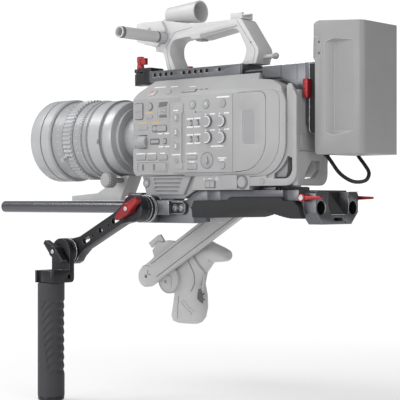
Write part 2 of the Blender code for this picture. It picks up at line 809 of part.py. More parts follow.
def battery_pack():
    """The battery: a tall block with rounded rear edges, a falling top and a pocket in each side."""
    w, front, rear = BATTERY_HALF_WIDTH, BATTERY_FRONT_Y, BATTERY_REAR_Y
    lip = -0.0075
    plan = filleted([(w, lip, 0.0015), (w, rear, 0.0065), (-w, rear, 0.0065), (-w, lip, 0.0015)], 4)
    body = prism("Z", plan, 0.050, 0.210)
    side = filleted(
        [
            (front, BATTERY_BOTTOM_Z, 0.004),
            (rear + 0.001, BATTERY_BOTTOM_Z, 0.002),
            (rear + 0.001, BATTERY_TOP_Z - 0.0050, 0.002),
            (lip - 0.001, BATTERY_TOP_Z, 0.009),
            (lip - 0.001, 0.1612),
            (front, 0.1612),
        ]
    )
    silhouette = prism("X", side, -w - 0.001, w + 0.001)
    cuts = [finger_recess(1), finger_recess(-1)]
    cuts += [cylinder("X", (0, 0.0003, z), 0.0014, w - 0.0020, w + 0.0010, 12) for z in (0.1674, 0.1796)]
    build("battery_pack", "camera_shell", [body], cuts, within=[silhouette])


def smooth_path(controls, steps=4):
    """Points on a Catmull-Rom curve through the controls."""
    ends = [2 * controls[0] - controls[1]] + controls + [2 * controls[-1] - controls[-2]]
    path = []
    for index in range(1, len(ends) - 2):
        before, start, end, after = ends[index - 1 : index + 3]
        for step in range(steps):
            t = step / steps
            path.append(
                0.5
                * (
                    2 * start
                    + (end - before) * t
                    + (2 * before - 5 * start + 4 * end - after) * t ** 2
                    + (3 * start - before - 3 * end + after) * t ** 3
                )
            )
    path.append(controls[-1])
    return path


def power_cable():
    """The lead from the camera's rear socket round to the battery plate's far edge."""
    controls = [
        Vector((0.0080, -0.0184, 0.0660)),
        Vector((0.0066, -0.0130, 0.0620)),
        Vector((0.0040, -0.0060, 0.0520)),
        Vector((0.0000, 0.0037, 0.0378)),
        Vector((-0.0080, 0.0154, 0.0290)),
        Vector((-0.0180, 0.0250, 0.0300)),
        Vector((-0.0250, 0.0250, 0.0385)),
        Vector((-0.0340, 0.0130, 0.0480)),
        Vector((-0.0385, 0.0000, 0.0600)),
        Vector((-0.0385, -0.0090, 0.0760)),
        Vector((-0.0370, -0.0115, 0.0900)),
    ]
    curve = bpy.data.curves.new("power_cable", "CURVE")
    curve.dimensions = "3D"
    curve.bevel_depth = 0.00215
    curve.bevel_resolution = 2
    curve.use_fill_caps = True
    path = smooth_path(controls)
    spline = curve.splines.new("POLY")
    spline.points.add(len(path) - 1)
    for point, place in zip(spline.points, path):
        point.co = (*place, 1.0)
    wire = bpy.data.objects.new("wire", curve)
    HELPERS.objects.link(wire)
    build("power_cable", "cable", [baked(wire)])


# ---------------------------------------------------------------- camera body


GUARD_ARC_CENTRE = (-0.0690, 0.0725)
GUARD_ARC_RADII = (0.0355, 0.0375)
SHOULDER_CUT = [(0.0510, 0.1287), (0.0510, 0.1560), (0.0300, 0.1560)]


def camera_body():
    """The camera's casing, with sloped shoulders, an undercut rear corner and the sensor's chamber."""
    side = filleted(
        [
            (-0.2470, 0.0105),
            (-0.2545, 0.0370),
            (BODY_FRONT_Y, 0.0390, 0.009),
            (BODY_FRONT_Y, 0.1360, 0.012),
            (-0.2440, BODY_TOP_Z, 0.010),
            (-0.0830, BODY_TOP_Z),
            (-0.0800, 0.1445),
            (-0.0600, 0.1425, 0.010),
            (-0.0410, 0.1340, 0.012),
            (BODY_REAR_Y, 0.1180, 0.012),
            (BODY_REAR_Y, 0.0725),
        ]
    )
    side += arc(GUARD_ARC_CENTRE, GUARD_ARC_RADII, 0, -90, 10)
    side += [
        (-0.0845, GUARD_ARC_CENTRE[1] - GUARD_ARC_RADII[1]),
        (-0.0845, 0.0201),
        (-0.1700, 0.0201),
        (-0.1880, 0.0105),
    ]
    body = prism("X", side, BODY_RIGHT_X, BODY_LEFT_X)
    far_shoulder = [(-0.0470, 0.1287), (-0.0470, 0.1560), (-0.0270, 0.1560)]
    far_corner = [(-0.0470, -0.0490), (-0.0470, -0.0300), (-0.0270, -0.0300)]
    skirt = [(-0.2750, 0.0), (-0.1790, 0.0), (-0.1640, 0.0383), (-0.2750, 0.0383)]
    cuts = [
        prism("Y", SHOULDER_CUT, -0.270, -0.030),
        prism("Y", far_shoulder, -0.270, -0.030),
        prism("Z", far_corner, 0.0, 0.160),
        prism("X", skirt, 0.0450, 0.0530),
        box((0.0394, -0.2700, 0.0700), (0.0510, -0.2425, 0.0865)),
        box(
            (-SLIDE_HALF_WIDTH - GAP, SLIDE_FRONT_Y - GAP, 0.0190),
            (SLIDE_HALF_WIDTH + GAP, -0.0840, SLIDE_TOP_Z + GAP),
        ),
        cylinder("Y", (0, 0, LENS_Z), 0.0240, -0.2700, -0.2150, 32),
    ]
    build("camera_body", "camera_shell", [body], cuts)


def rear_module():
    """The connector and power block on the camera's back."""
    outline = filleted(
        [(-0.0340, 0.0625, 0.004), (0.0447, 0.0625), (0.0447, 0.1290), (-0.0340, 0.1290, 0.006)]
    )
    body = prism("Y", outline, BODY_REAR_Y + GAP, -0.0192)
    socket = cylinder("Y", (0.0080, 0, 0.0665), 0.0028, -0.0300, -0.0187, 16)
    build("rear_module", "camera_dark", [body], [socket])


def rear_guard():
    """The frame round the camera's rear left edge, pierced at its lower corner and at the back."""
    inner_radii = (GUARD_ARC_RADII[0] + GAP, GUARD_ARC_RADII[1] + GAP)
    frame = filleted(
        [
            (-0.0842, 0.0342),
            (-0.0842, 0.0245),
            (-0.0185, 0.0245, 0.0150),
            (-0.0185, 0.1240, 0.0150),
            (-0.0290, 0.1370),
            (BODY_REAR_Y + GAP, 0.1385),
        ],
        6,
    ) + arc(GUARD_ARC_CENTRE, inner_radii, 0, -90, 10)
    side_wall = prism("X", frame, 0.0450, BODY_LEFT_X)
    rear_wall = prism(
        "Y",
        filleted(
            [
                (-0.0090, 0.0620),
                (-0.0090, 0.0245, 0.0130),
                (0.0463, 0.0245),
                (0.0463, 0.0620),
            ],
            6,
        ),
        -0.0255,
        -0.0195,
    )
    inset = filleted(
        [(-0.0600, 0.0330), (-0.0240, 0.0330, 0.0100), (-0.0240, 0.1500), (-0.0600, 0.1500)], 6
    )
    side_opening = filleted([(-0.0510, 0.0320), (-0.0255, 0.0320, 0.0090), (-0.0245, 0.0575, 0.0015)], 5)
    side_opening += arc((-0.0660, 0.0740), (0.0375, 0.0395), -25, -66, 6)
    rear_opening = filleted(
        [
            (0.0050, 0.0520, 0.0030),
            (0.0050, 0.0415, 0.0040),
            (0.0150, 0.0330, 0.0060),
            (0.0330, 0.0310, 0.0020),
            (0.0340, 0.0350, 0.0020),
            (0.0215, 0.0520, 0.0030),
        ]
    )
    cuts = [
        prism("Y", rear_opening, -0.0300, -0.0150),
        prism("Y", SHOULDER_CUT, -0.0400, -0.0100),
        prism("X", side_opening, 0.0400, 0.0520),
        prism("X", inset, 0.0478, 0.0520),
    ]
    build("rear_guard", "camera_shell", [side_wall, rear_wall], cuts)


DIALS = {
    "audio_dial_1": (-0.1440, 0.0987),
    "audio_dial_2": (-0.1232, 0.0983),
    "audio_dial_3": (-0.1440, 0.0802),
    "audio_dial_4": (-0.1232, 0.0798),
}
ASSIGN_BUTTONS = {
    "assign_button_1": (-0.1921, 0.1050),
    "assign_button_2": (-0.1921, 0.0880),
    "assign_button_3": (-0.1921, 0.0715),
}
JOYSTICK = (-0.1446, 0.0540)
DOOR_SEAM_Y = -0.1060


def operator_panel():
    """The raised side panel that carries the camera's controls."""
    outline = filleted(
        [
            (-0.2015, 0.0425, 0.004),
            (-0.1880, 0.0405),
            (DOOR_SEAM_Y - GAP, 0.0400),
            (DOOR_SEAM_Y - GAP, 0.1288),
            (-0.1840, 0.1288),
            (-0.1865, 0.1240),
            (-0.2015, 0.1220, 0.004),
        ]
    )
    body = prism("X", outline, PANEL_X, PANEL_FACE_X)
    cuts = [
        cylinder("X", (0, y, z), 0.0045, 0.0495, 0.0540, 20) for y, z in ASSIGN_BUTTONS.values()
    ]
    cuts.append(cylinder("X", (0, *JOYSTICK), 0.0092, 0.0495, 0.0540, 24))
    cuts.append(box((0.0524, -0.1885, 0.0500), (0.0540, -0.1840, 0.1130)))
    build("operator_panel", "camera_shell", [body], cuts)


def panel_door():
    """The cover at the rear of the side panel, hinged on its front seam."""
    corner = arc((-0.0920, 0.0760), (0.0330, 0.0345), 0, -80, 8)
    outline = filleted([(DOOR_SEAM_Y, 0.0400), (DOOR_SEAM_Y, 0.1288), (-0.0590, 0.1288, 0.009)] + corner)
    body = prism("X", outline, PANEL_X, PANEL_FACE_X)
    window = filleted(
        [
            (-0.0918, 0.0710, 0.003),
            (-0.0745, 0.0710, 0.003),
            (-0.0745, 0.1083, 0.007),
            (-0.0918, 0.1083, 0.003),
        ]
    )
    recess = prism("X", window, 0.0523, 0.0540)
    hinge = Vector((PANEL_FACE_X, DOOR_SEAM_Y, 0.0844))
    build("panel_door", "camera_shell", [body], [recess], origin=hinge)


def camera_controls():
    """The turning dials and the travelling buttons on the side panel."""
    for name, (y, z) in DIALS.items():
        profile = [
            (0.0, 0.0560),
            (0.0061, 0.0560),
            (0.0068, 0.0553),
            (0.0068, PANEL_FACE_X + GAP),
            (0.0, PANEL_FACE_X + GAP),
        ]
        dial = turned("X", (0, y, z), profile, 24)
        build(name, "camera_shell", [dial], origin=(PANEL_FACE_X, y, z))
    button_foot, button_top = 0.0516, 0.0540
    for name, (y, z) in ASSIGN_BUTTONS.items():
        button = cylinder("X", (0, y, z), 0.0042, button_foot, button_top, 20)
        build(name, "camera_shell", [button], origin=(button_foot, y, z))
    y, z = JOYSTICK
    stick_foot = 0.0512
    stick_profile = [
        (0.0, 0.0556),
        (0.0030, 0.0556),
        (0.0036, 0.0538),
        (0.0088, 0.0532),
        (0.0088, stick_foot),
        (0.0, stick_foot),
    ]
    joystick = turned("X", (0, y, z), stick_profile, 24)
    build("menu_joystick", "camera_shell", [joystick], origin=(stick_foot, y, z))
    dial_rear = -0.2428
    dial_profile = [
        (0.0, dial_rear),
        (0.0066, dial_rear),
        (0.0076, dial_rear - 0.0010),
        (0.0076, -0.2570),
        (0.0062, -0.2610),
        (0.0, -0.2610),
    ]
    dial = turned("Y", (0.0475, 0, 0.0782), dial_profile, 24)
    build("filter_dial", "camera_shell", [dial], origin=(0.0475, dial_rear, 0.0782))


def vent_grille():
    """The louvred intake at the foot of the casing."""
    outline = [(-0.2275, 0.0150), (-0.1845, 0.0150), (-0.1728, 0.0365), (-0.2390, 0.0365)]
    body = prism("X", outline, 0.0453, 0.0490)
    cuts = []
    for step in range(4):
        z = 0.0172 + 0.0048 * step
        inset = 0.0035 + 0.0030 * (3 - step) / 3
        cuts.append(
            prism(
                "Y",
                [(0.0500, z), (0.0470, z + 0.0006), (0.0470, z + 0.0024), (0.0500, z + 0.0030)],
                -0.2360 + inset,
                -0.1800 - 2 * inset,
            )
        )
    build("vent_grille", "camera_dark", [body], cuts)


def image_sensor():
    """The sensor block at the back of the chamber behind the lens mount."""
    body = box((-0.0190, -0.2210, LENS_Z - 0.0120), (0.0190, -0.2153, LENS_Z + 0.0120))
    build("image_sensor", "glass", [body])


# ---------------------------------------------------------------- lens


def lens():
    """Mount, barrel, three turning rings, hood and front glass, all on the lens axis."""
    axis = (0, 0, LENS_Z)
    mount_rear = BODY_FRONT_Y - GAP
    mount_front = -0.2897
    mount = [
        (0.0215, mount_rear),
        (0.0325, mount_rear),
        (0.0325, -0.2730),
        (0.0290, -0.2740),
        (0.0290, mount_front),
        (0.0215, mount_front),
    ]
    build("lens_mount", "camera_shell", [turned("Y", axis, mount, 40, closed=True)])
    barrel = [
        (0.0200, -0.2900),
        (0.0280, -0.2900),
        (0.0280, -0.3030),
        (0.0380, -0.3035),
        (0.0385, -0.3075),
        (0.0455, -0.3090),
        (0.0465, -0.3110),
        (0.0465, -0.3247),
        (0.0440, -0.3247),
        (0.0440, -0.4127),
        (0.0400, -0.4127),
        (0.0400, -0.3400),
        (0.0200, -0.3100),
    ]
    build("lens_barrel", "camera_shell", [turned("Y", axis, barrel, 48, closed=True)])
    rings = {
        "iris_ring": (-0.3500, -0.3250, 0.0485),
        "zoom_ring": (-0.3745, -0.3503, 0.0490),
        "focus_ring": (-0.4127, -0.3748, 0.0500),
    }
    for name, (front, rear, radius) in rings.items():
        edge = 0.0008
        profile = [
            (0.0440 + GAP, rear),
            (radius - edge, rear),
            (radius, rear - edge),
            (radius, front + edge),
            (radius - edge, front),
            (0.0440 + GAP, front),
        ]
        ring = turned("Y", axis, profile, 48, closed=True)
        build(name, "camera_shell", [ring], origin=(0, (front + rear) / 2, LENS_Z))
    hood = [
        (0.0420, -0.4130),
        (0.0518, -0.4130),
        (0.0535, -0.4150),
        (0.0535, -0.4285),
        (0.0524, -0.4289),
        (0.0524, -0.4307),
        (0.0535, -0.4311),
        (0.0535, -0.4480),
        (0.0525, -0.4500),
        (0.0500, -0.4500),
        (0.0485, -0.4300),
        (0.0420, -0.4190),
    ]
    build("lens_hood", "camera_shell", [turned("Y", axis, hood, 48, closed=True)])
    glass = [
        (0.0, -0.4050),
        (0.0396, -0.4050),
        (0.0396, -0.4090),
        (0.0300, -0.4140),
        (0.0160, -0.4170),
        (0.0, -0.4180),
    ]
    build("front_lens", "glass", [turned("Y", axis, glass, 40)])


def lens_foot():
    """The support under the lens and its knurled locking knob."""
    web = filleted(
        [
            (-0.4150, 0.0078),
            (-0.3260, 0.0078),
            (-0.3220, 0.0167),
            (-0.3155, 0.0290),
            (-0.3105, 0.0396),
            (-0.3205, 0.0396),
            (-0.3360, 0.0330, 0.006),
            (-0.3675, 0.0175, 0.006),
            (-0.4150, 0.0140),
        ]
    )
    body = prism("X", web, -0.0120, 0.0120)
    build("lens_foot", "camera_dark", [body])
    centre = Vector((0.0123, -0.3225, 0.0335))
    stem = cylinder("X", centre, 0.0035, 0.0123, 0.0290, 16)
    knob_profile = [
        (0.0, 0.0430),
        (0.0075, 0.0430),
        (0.0085, 0.0420),
        (0.0085, 0.0290),
        (0.0080, 0.0280),
        (0.0, 0.0280),
    ]
    knob = turned("X", centre, knob_profile, 24)
    build("lens_foot_knob", "camera_dark", [knob, stem], origin=centre)


# ---------------------------------------------------------------- top handle


def top_handle():
    """The carrying handle, with a head for the viewfinder tube and a long hand opening."""
    outline = filleted(
        [
            (-0.2430, PLATE_TOP_Z + GAP),
            (-0.2490, 0.1850, 0.006),
            (-0.2520, 0.1905),
            (-0.2630, 0.1910),
            (-0.2630, 0.1960),
            (-0.2700, 0.1985, 0.004),
            (-0.2810, 0.2010, 0.008),
            (-0.2900, 0.2060, 0.004),
            (-0.2930, 0.2290, 0.003),
            (-0.2500, 0.2280),
            (-0.2030, 0.2200, 0.020),
            (-0.1270, 0.2195, 0.008),
            (-0.1000, 0.1810, 0.010),
            (-0.1050, PLATE_TOP_Z + GAP),
        ]
    )
    body = prism("X", outline, -0.0130, 0.0130)
    head = prism(
        "X",
        filleted(
            [
                (-0.2915, 0.2045, 0.004),
                (-0.2920, 0.2275, 0.003),
                (-0.2500, 0.2270),
                (-0.2430, 0.2160, 0.006),
                (-0.2560, 0.1960, 0.006),
            ]
        ),
        -0.0175,
        0.0175,
    )
    stub = cylinder("Y", (0, 0, 0.1740), 0.0026, -0.1040, -0.0830, 12)
    opening = filleted(
        [
            (-0.2310, PLATE_TOP_Z - 0.0050),
            (-0.2310, 0.1690),
            (-0.2390, 0.1840, 0.015),
            (-0.2400, 0.2030, 0.012),
            (-0.2080, 0.2050, 0.006),
            (-0.2020, 0.2015, 0.003),
            (-0.1930, 0.2015, 0.006),
            (-0.1330, 0.2100, 0.012),
            (-0.1180, 0.1830, 0.014),
            (-0.1240, 0.1680, 0.008),
            (-0.1300, 0.1665),
            (-0.1300, PLATE_TOP_Z - 0.0050),
        ]
    )
    cuts = [
        prism("X", opening, -0.0200, 0.0200),
        cylinder("X", (0, -0.2500, 0.2070), 0.0073, -0.0200, 0.0200, 24),
    ]
    build("top_handle", "camera_shell", [body, head, stub], cuts)


def viewfinder_rod():
    """The cross tube that carries a viewfinder, open at its outer end."""
    tube = cylinder("X", (0, -0.2500, 0.2070), 0.0070, -0.0160, 0.0900, 28)
    mouth = cylinder("X", (0, -0.2500, 0.2070), 0.0055, 0.0700, 0.0910, 20)
    build("viewfinder_rod", "camera_shell", [tube], [mouth], origin=(0.0, -0.2500, 0.2070))


def microphone_holder():
    """The tapered ring that holds a microphone, on a block beside the handle's head."""
    centre = (-0.0150, 0.0, 0.2385)
    seat_z = 0.2293
    outer = cylinder("Y", centre, 0.0098, -0.2650, -0.2140, 32, end_radius=0.0138)
    bore = cylinder("Y", centre, 0.0070, -0.2670, -0.2120, 24, end_radius=0.0122)
    seat = box((-0.0400, -0.2700, 0.2150), (0.0100, -0.2445, seat_z))
    block_side = [(-0.2790, seat_z), (-0.2500, seat_z), (-0.2500, 0.2345), (-0.2680, 0.2345)]
    block = prism("X", block_side, -0.0210, -0.0090)
    build("microphone_holder", "camera_shell", [outer, block], [bore, seat])


def accessory_shoe():
    """The shoe on the handle's rear, with two lips that hold an accessory's foot."""
    channel = [
        (-0.0100, 0.2198),
        (0.0100, 0.2198),
        (0.0100, 0.2272),
        (0.0060, 0.2272),
        (0.0060, 0.2255),
        (0.0085, 0.2255),
        (0.0085, 0.2225),
        (-0.0085, 0.2225),
        (-0.0085, 0.2255),
        (-0.0060, 0.2255),
        (-0.0060, 0.2272),
        (-0.0100, 0.2272),
    ]
    build("accessory_shoe", "camera_shell", [prism("Y", channel, -0.1460, -0.1280)])


# ---------------------------------------------------------------- camera's own side grip


def camera_grip_arm():
    """The long arm from the camera's right side down to its hand grip."""
    along = (Vector(CAMERA_ARM_END.yz) - Vector(CAMERA_ARM_PIVOT.yz)).normalized()
    across = Vector((-along.y, along.x))
    radius = 0.0140
    outline = []
    for centre, way in ((CAMERA_ARM_END, 1), (CAMERA_ARM_PIVOT, -1)):
        middle = Vector(centre.yz)
        for step in range(13):
            angle = math.radians(-90 + 180 * step / 12)
            forward = along * way * radius * math.cos(angle)
            sideways = across * way * radius * math.sin(angle)
            outline.append(tuple(middle + forward + sideways))
    bar = prism("X", outline, -0.0720, -0.0640)
    boss = cylinder("X", CAMERA_ARM_PIVOT, 0.0130, -0.0650, BODY_RIGHT_X - GAP, 24)
    build("camera_grip_arm", "camera_shell", [bar, boss], origin=CAMERA_ARM_PIVOT)


def lofted(axis, rings, segments=28):
    """A closed solid skinned over elliptical rings: (place along the axis, (u, v) centre, (u, v) radii)."""
    shape = bmesh.new()
    rows = []
    for place, centre, radii in rings:
        row = []
        for u, v in arc(centre, radii, 0, 360 * (segments - 1) / segments, segments - 1):
            row.append(shape.verts.new((u, place, v) if axis == "Y" else (u, v, place)))
        rows.append(row)
    for first, second in zip(rows, rows[1:]):
        for index in range(segments):
            after = (index + 1) % segments
            shape.faces.new((first[index], second[index], second[after], first[after]))
    shape.faces.new(rows[0])
    shape.faces.new(rows[-1][::-1])
    bmesh.ops.recalc_face_normals(shape, faces=shape.faces)
    mesh = bpy.data.meshes.new("loft")
    shape.to_mesh(mesh)
    shape.free()
    return helper("loft", mesh)


def camera_grip():
    """The right-hand grip: a waisted handle, a thumb horn to the rear and a disc against the arm."""
    middle = -0.0930
    handle = lofted(
        "Z",
        [
            (-0.1525, (middle, -0.3060), (0.0080, 0.0170)),
            (-0.1500, (middle, -0.3060), (0.0130, 0.0235)),
            (-0.1430, (middle, -0.3040), (0.0160, 0.0275)),
            (-0.1300, (middle, -0.3010), (0.0175, 0.0270)),
            (-0.1150, (middle, -0.3000), (0.0175, 0.0250)),
            (-0.1000, (middle, -0.3030), (0.0175, 0.0245)),
            (-0.0850, (middle, -0.3040), (0.0175, 0.0300)),
            (-0.0700, (middle, -0.2980), (0.0175, 0.0380)),
            (-0.0580, (middle, -0.2900), (0.0165, 0.0380)),
            (-0.0480, (middle, -0.2820), (0.0130, 0.0260)),
            (-0.0440, (middle, -0.2800), (0.0070, 0.0150)),
        ],
    )
    horn = lofted(
        "Y",
        [
            (-0.2900, (middle, -0.0610), (0.0150, 0.0160)),
            (-0.2750, (middle, -0.0590), (0.0150, 0.0150)),
            (-0.2600, (middle, -0.0590), (0.0140, 0.0125)),
            (-0.2450, (middle, -0.0610), (0.0125, 0.0095)),
            (-0.2380, (middle, -0.0620), (0.0105, 0.0075)),
            (-0.2350, (middle, -0.0620), (0.0070, 0.0050)),
        ],
        20,
    )
    disc_centre = (0.0, -0.3210, -0.0950)
    disc = cylinder("X", disc_centre, 0.0185, middle, -0.0723, 36)
    build("camera_grip", "camera_shell", [handle, horn, disc], origin=CAMERA_ARM_END)


shoulder_base()
shoulder_pad()
rear_rod_clamp()
front_rod_clamp()
clamp_lever("rear_lever_left", 1, -0.0110, 0)
clamp_lever("rear_lever_right", -1, -0.0110, 0)
clamp_lever("front_lever", 1, -0.2745, 0)
support_rod("rod_left", ROD_X)
support_rod("rod_right", -ROD_X)
camera_slide_plate()
side_rosette()
extension_arm()
arm_lever()
grip_bracket()
bracket_lever()
hand_grip()
top_plate()
top_rod_clamp()
top_clamp_lever()
plate_thumb_screw()
bracket_rod("bracket_rod_left", BRACKET_ROD_X)
bracket_rod("bracket_rod_right", -BRACKET_ROD_X)
battery_bracket()
battery_plate()
battery_release_lever()
battery_pack()
power_cable()
camera_body()
rear_module()
rear_guard()
operator_panel()
panel_door()
camera_controls()
vent_grille()
image_sensor()
lens()
lens_foot()
top_handle()
viewfinder_rod()
microphone_holder()
accessory_shoe()
camera_grip_arm()
camera_grip()
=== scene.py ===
"""The looks of the shoulder-mounted cinema camera rig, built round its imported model.

Lengths are millimetres until piece() turns a finished mesh into metres. +X is the operator's left, -Y is the
way the lens looks, and heights are measured from the axes of the 15 mm rods, as in the part's own source.
"""

import math

import bmesh
import bpy
from mathutils import Matrix, Vector
from mathutils.bvhtree import BVHTree


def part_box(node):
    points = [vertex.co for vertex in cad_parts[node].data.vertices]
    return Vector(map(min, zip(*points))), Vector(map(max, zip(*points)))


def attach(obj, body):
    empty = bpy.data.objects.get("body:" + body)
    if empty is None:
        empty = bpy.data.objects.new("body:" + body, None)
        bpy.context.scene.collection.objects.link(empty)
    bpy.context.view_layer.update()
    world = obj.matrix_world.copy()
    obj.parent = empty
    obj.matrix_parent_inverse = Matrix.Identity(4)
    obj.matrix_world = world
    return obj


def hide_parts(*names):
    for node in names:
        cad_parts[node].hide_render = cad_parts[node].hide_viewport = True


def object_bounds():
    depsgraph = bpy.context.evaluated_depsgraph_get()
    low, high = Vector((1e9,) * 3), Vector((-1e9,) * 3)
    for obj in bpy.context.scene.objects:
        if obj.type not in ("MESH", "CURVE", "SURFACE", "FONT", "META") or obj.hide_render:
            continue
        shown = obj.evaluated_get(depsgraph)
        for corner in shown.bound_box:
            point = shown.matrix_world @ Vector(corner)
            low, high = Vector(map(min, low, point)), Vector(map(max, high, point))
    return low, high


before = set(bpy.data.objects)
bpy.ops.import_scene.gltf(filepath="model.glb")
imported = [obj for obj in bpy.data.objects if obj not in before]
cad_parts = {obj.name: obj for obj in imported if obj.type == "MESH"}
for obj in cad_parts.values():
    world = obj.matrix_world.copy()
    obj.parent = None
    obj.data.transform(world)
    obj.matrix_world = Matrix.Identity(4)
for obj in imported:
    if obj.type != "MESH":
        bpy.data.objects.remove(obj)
CAD_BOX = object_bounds()

MM = 0.001
ROD_Z = sum(corner.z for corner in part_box("rod_left")) / 2


def node_box(node):
    """A CAD node's corners in this script's units: millimetres, heights from the rod axes."""
    low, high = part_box(node)
    lift = Vector((0.0, 0.0, ROD_Z))
    return (low - lift) / MM, (high - lift) / MM


PANEL_LOW, PANEL_HIGH = node_box("operator_panel")
BODY_LOW, BODY_HIGH = node_box("camera_body")
DOOR_LOW, DOOR_HIGH = node_box("panel_door")
PANEL_X = PANEL_HIGH.x
BODY_X = BODY_HIGH.x
LENS_Z = sum(corner.z for corner in node_box("front_lens")) / 2


# ---------------------------------------------------------------- finishes


def tone(red, green=None, blue=None):
    """A linear colour from 8-bit display values; one value alone is a grey."""
    values = (red, red if green is None else green, red if blue is None else blue)
    linear = []
    for value in values:
        share = value / 255
        linear.append(share / 12.92 if share <= 0.04045 else ((share + 0.055) / 1.055) ** 2.4)
    return (*linear, 1.0)


def finish(
    name,
    colour,
    roughness,
    metallic=0.0,
    grain_size=0.35,
    grain_depth=0.02,
    grain="NOISE",
    blotch=0.06,
    edge_radius=0.45,
    edge_colour=None,
    edge_strength=0.6,
    specular=0.5,
    coat=0.0,
    stretch=(1.0, 1.0, 1.0),
):
    """A procedural finish: cloudy colour, a fine grain in relief, and edges mixed towards a lighter colour, a painted
    highlight that partly also stands for wear.

    grain_size, grain_depth and edge_radius are in millimetres. stretch squeezes the grain along an axis.
    """
    material = bpy.data.materials.new(name)
    material.use_nodes = True
    tree = material.node_tree
    shader = tree.nodes["Principled BSDF"]
    place = tree.nodes.new("ShaderNodeTexCoord").outputs["Object"]

    clouds = tree.nodes.new("ShaderNodeTexNoise")
    clouds.inputs["Scale"].default_value = 38.0
    clouds.inputs["Detail"].default_value = 5.0
    tree.links.new(place, clouds.inputs["Vector"])
    shade = tree.nodes.new("ShaderNodeMapRange")
    shade.inputs["From Min"].default_value = 0.3
    shade.inputs["From Max"].default_value = 0.7
    shade.inputs["To Min"].default_value = 1.0 - blotch
    shade.inputs["To Max"].default_value = 1.0 + blotch
    tree.links.new(clouds.outputs["Fac"], shade.inputs["Value"])
    tinted = tree.nodes.new("ShaderNodeVectorMath")
    tinted.operation = "SCALE"
    tinted.inputs[0].default_value = colour[:3]
    tree.links.new(shade.outputs["Result"], tinted.inputs["Scale"])

    squeeze = tree.nodes.new("ShaderNodeMapping")
    squeeze.inputs["Scale"].default_value = stretch
    tree.links.new(place, squeeze.inputs["Vector"])
    if grain == "VORONOI":
        speckle = tree.nodes.new("ShaderNodeTexVoronoi")
        speckle_out = speckle.outputs["Distance"]
    else:
        speckle = tree.nodes.new("ShaderNodeTexNoise")
        speckle.inputs["Detail"].default_value = 3.0
        speckle_out = speckle.outputs["Fac"]
    speckle.inputs["Scale"].default_value = 1.0 / (grain_size * MM)
    tree.links.new(squeeze.outputs["Vector"], speckle.inputs["Vector"])

    bump = tree.nodes.new("ShaderNodeBump")
    bump.inputs["Strength"].default_value = 0.8
    bump.inputs["Distance"].default_value = grain_depth * MM
    tree.links.new(speckle_out, bump.inputs["Height"])
    tree.links.new(bump.outputs["Normal"], shader.inputs["Normal"])

    if edge_radius > 0.0:
        rounded_edge = tree.nodes.new("ShaderNodeBevel")
        rounded_edge.samples = 6
        rounded_edge.inputs["Radius"].default_value = edge_radius * MM
        tree.links.new(rounded_edge.outputs["Normal"], bump.inputs["Normal"])
        surface = tree.nodes.new("ShaderNodeNewGeometry")
        turn = tree.nodes.new("ShaderNodeVectorMath")
        turn.operation = "DOT_PRODUCT"
        tree.links.new(rounded_edge.outputs["Normal"], turn.inputs[0])
        tree.links.new(surface.outputs["Normal"], turn.inputs[1])
        # The mix towards edge_colour paints every rounded edge lighter: a painted highlight, partly also wear.
        edge_wear_and_highlight = tree.nodes.new("ShaderNodeMapRange")
        edge_wear_and_highlight.inputs["From Min"].default_value = 0.995
        edge_wear_and_highlight.inputs["From Max"].default_value = 0.90
        edge_wear_and_highlight.inputs["To Min"].default_value = 0.0
        edge_wear_and_highlight.inputs["To Max"].default_value = edge_strength
        tree.links.new(turn.outputs["Value"], edge_wear_and_highlight.inputs["Value"])
        edged = tree.nodes.new("ShaderNodeMix")
        edged.data_type = "RGBA"
        tree.links.new(edge_wear_and_highlight.outputs["Result"], edged.inputs["Factor"])
        tree.links.new(tinted.outputs["Vector"], edged.inputs["A"])
        edged.inputs["B"].default_value = edge_colour or colour
        tree.links.new(edged.outputs["Result"], shader.inputs["Base Color"])
    else:
        tree.links.new(tinted.outputs["Vector"], shader.inputs["Base Color"])

    gloss = tree.nodes.new("ShaderNodeMapRange")
    gloss.inputs["To Min"].default_value = roughness - 0.06
    gloss.inputs["To Max"].default_value = roughness + 0.06
    tree.links.new(clouds.outputs["Fac"], gloss.inputs["Value"])
    tree.links.new(gloss.outputs["Result"], shader.inputs["Roughness"])
    shader.inputs["Metallic"].default_value = metallic
    shader.inputs["Specular IOR Level"].default_value = specular
    shader.inputs["Coat Weight"].default_value = coat
    return material


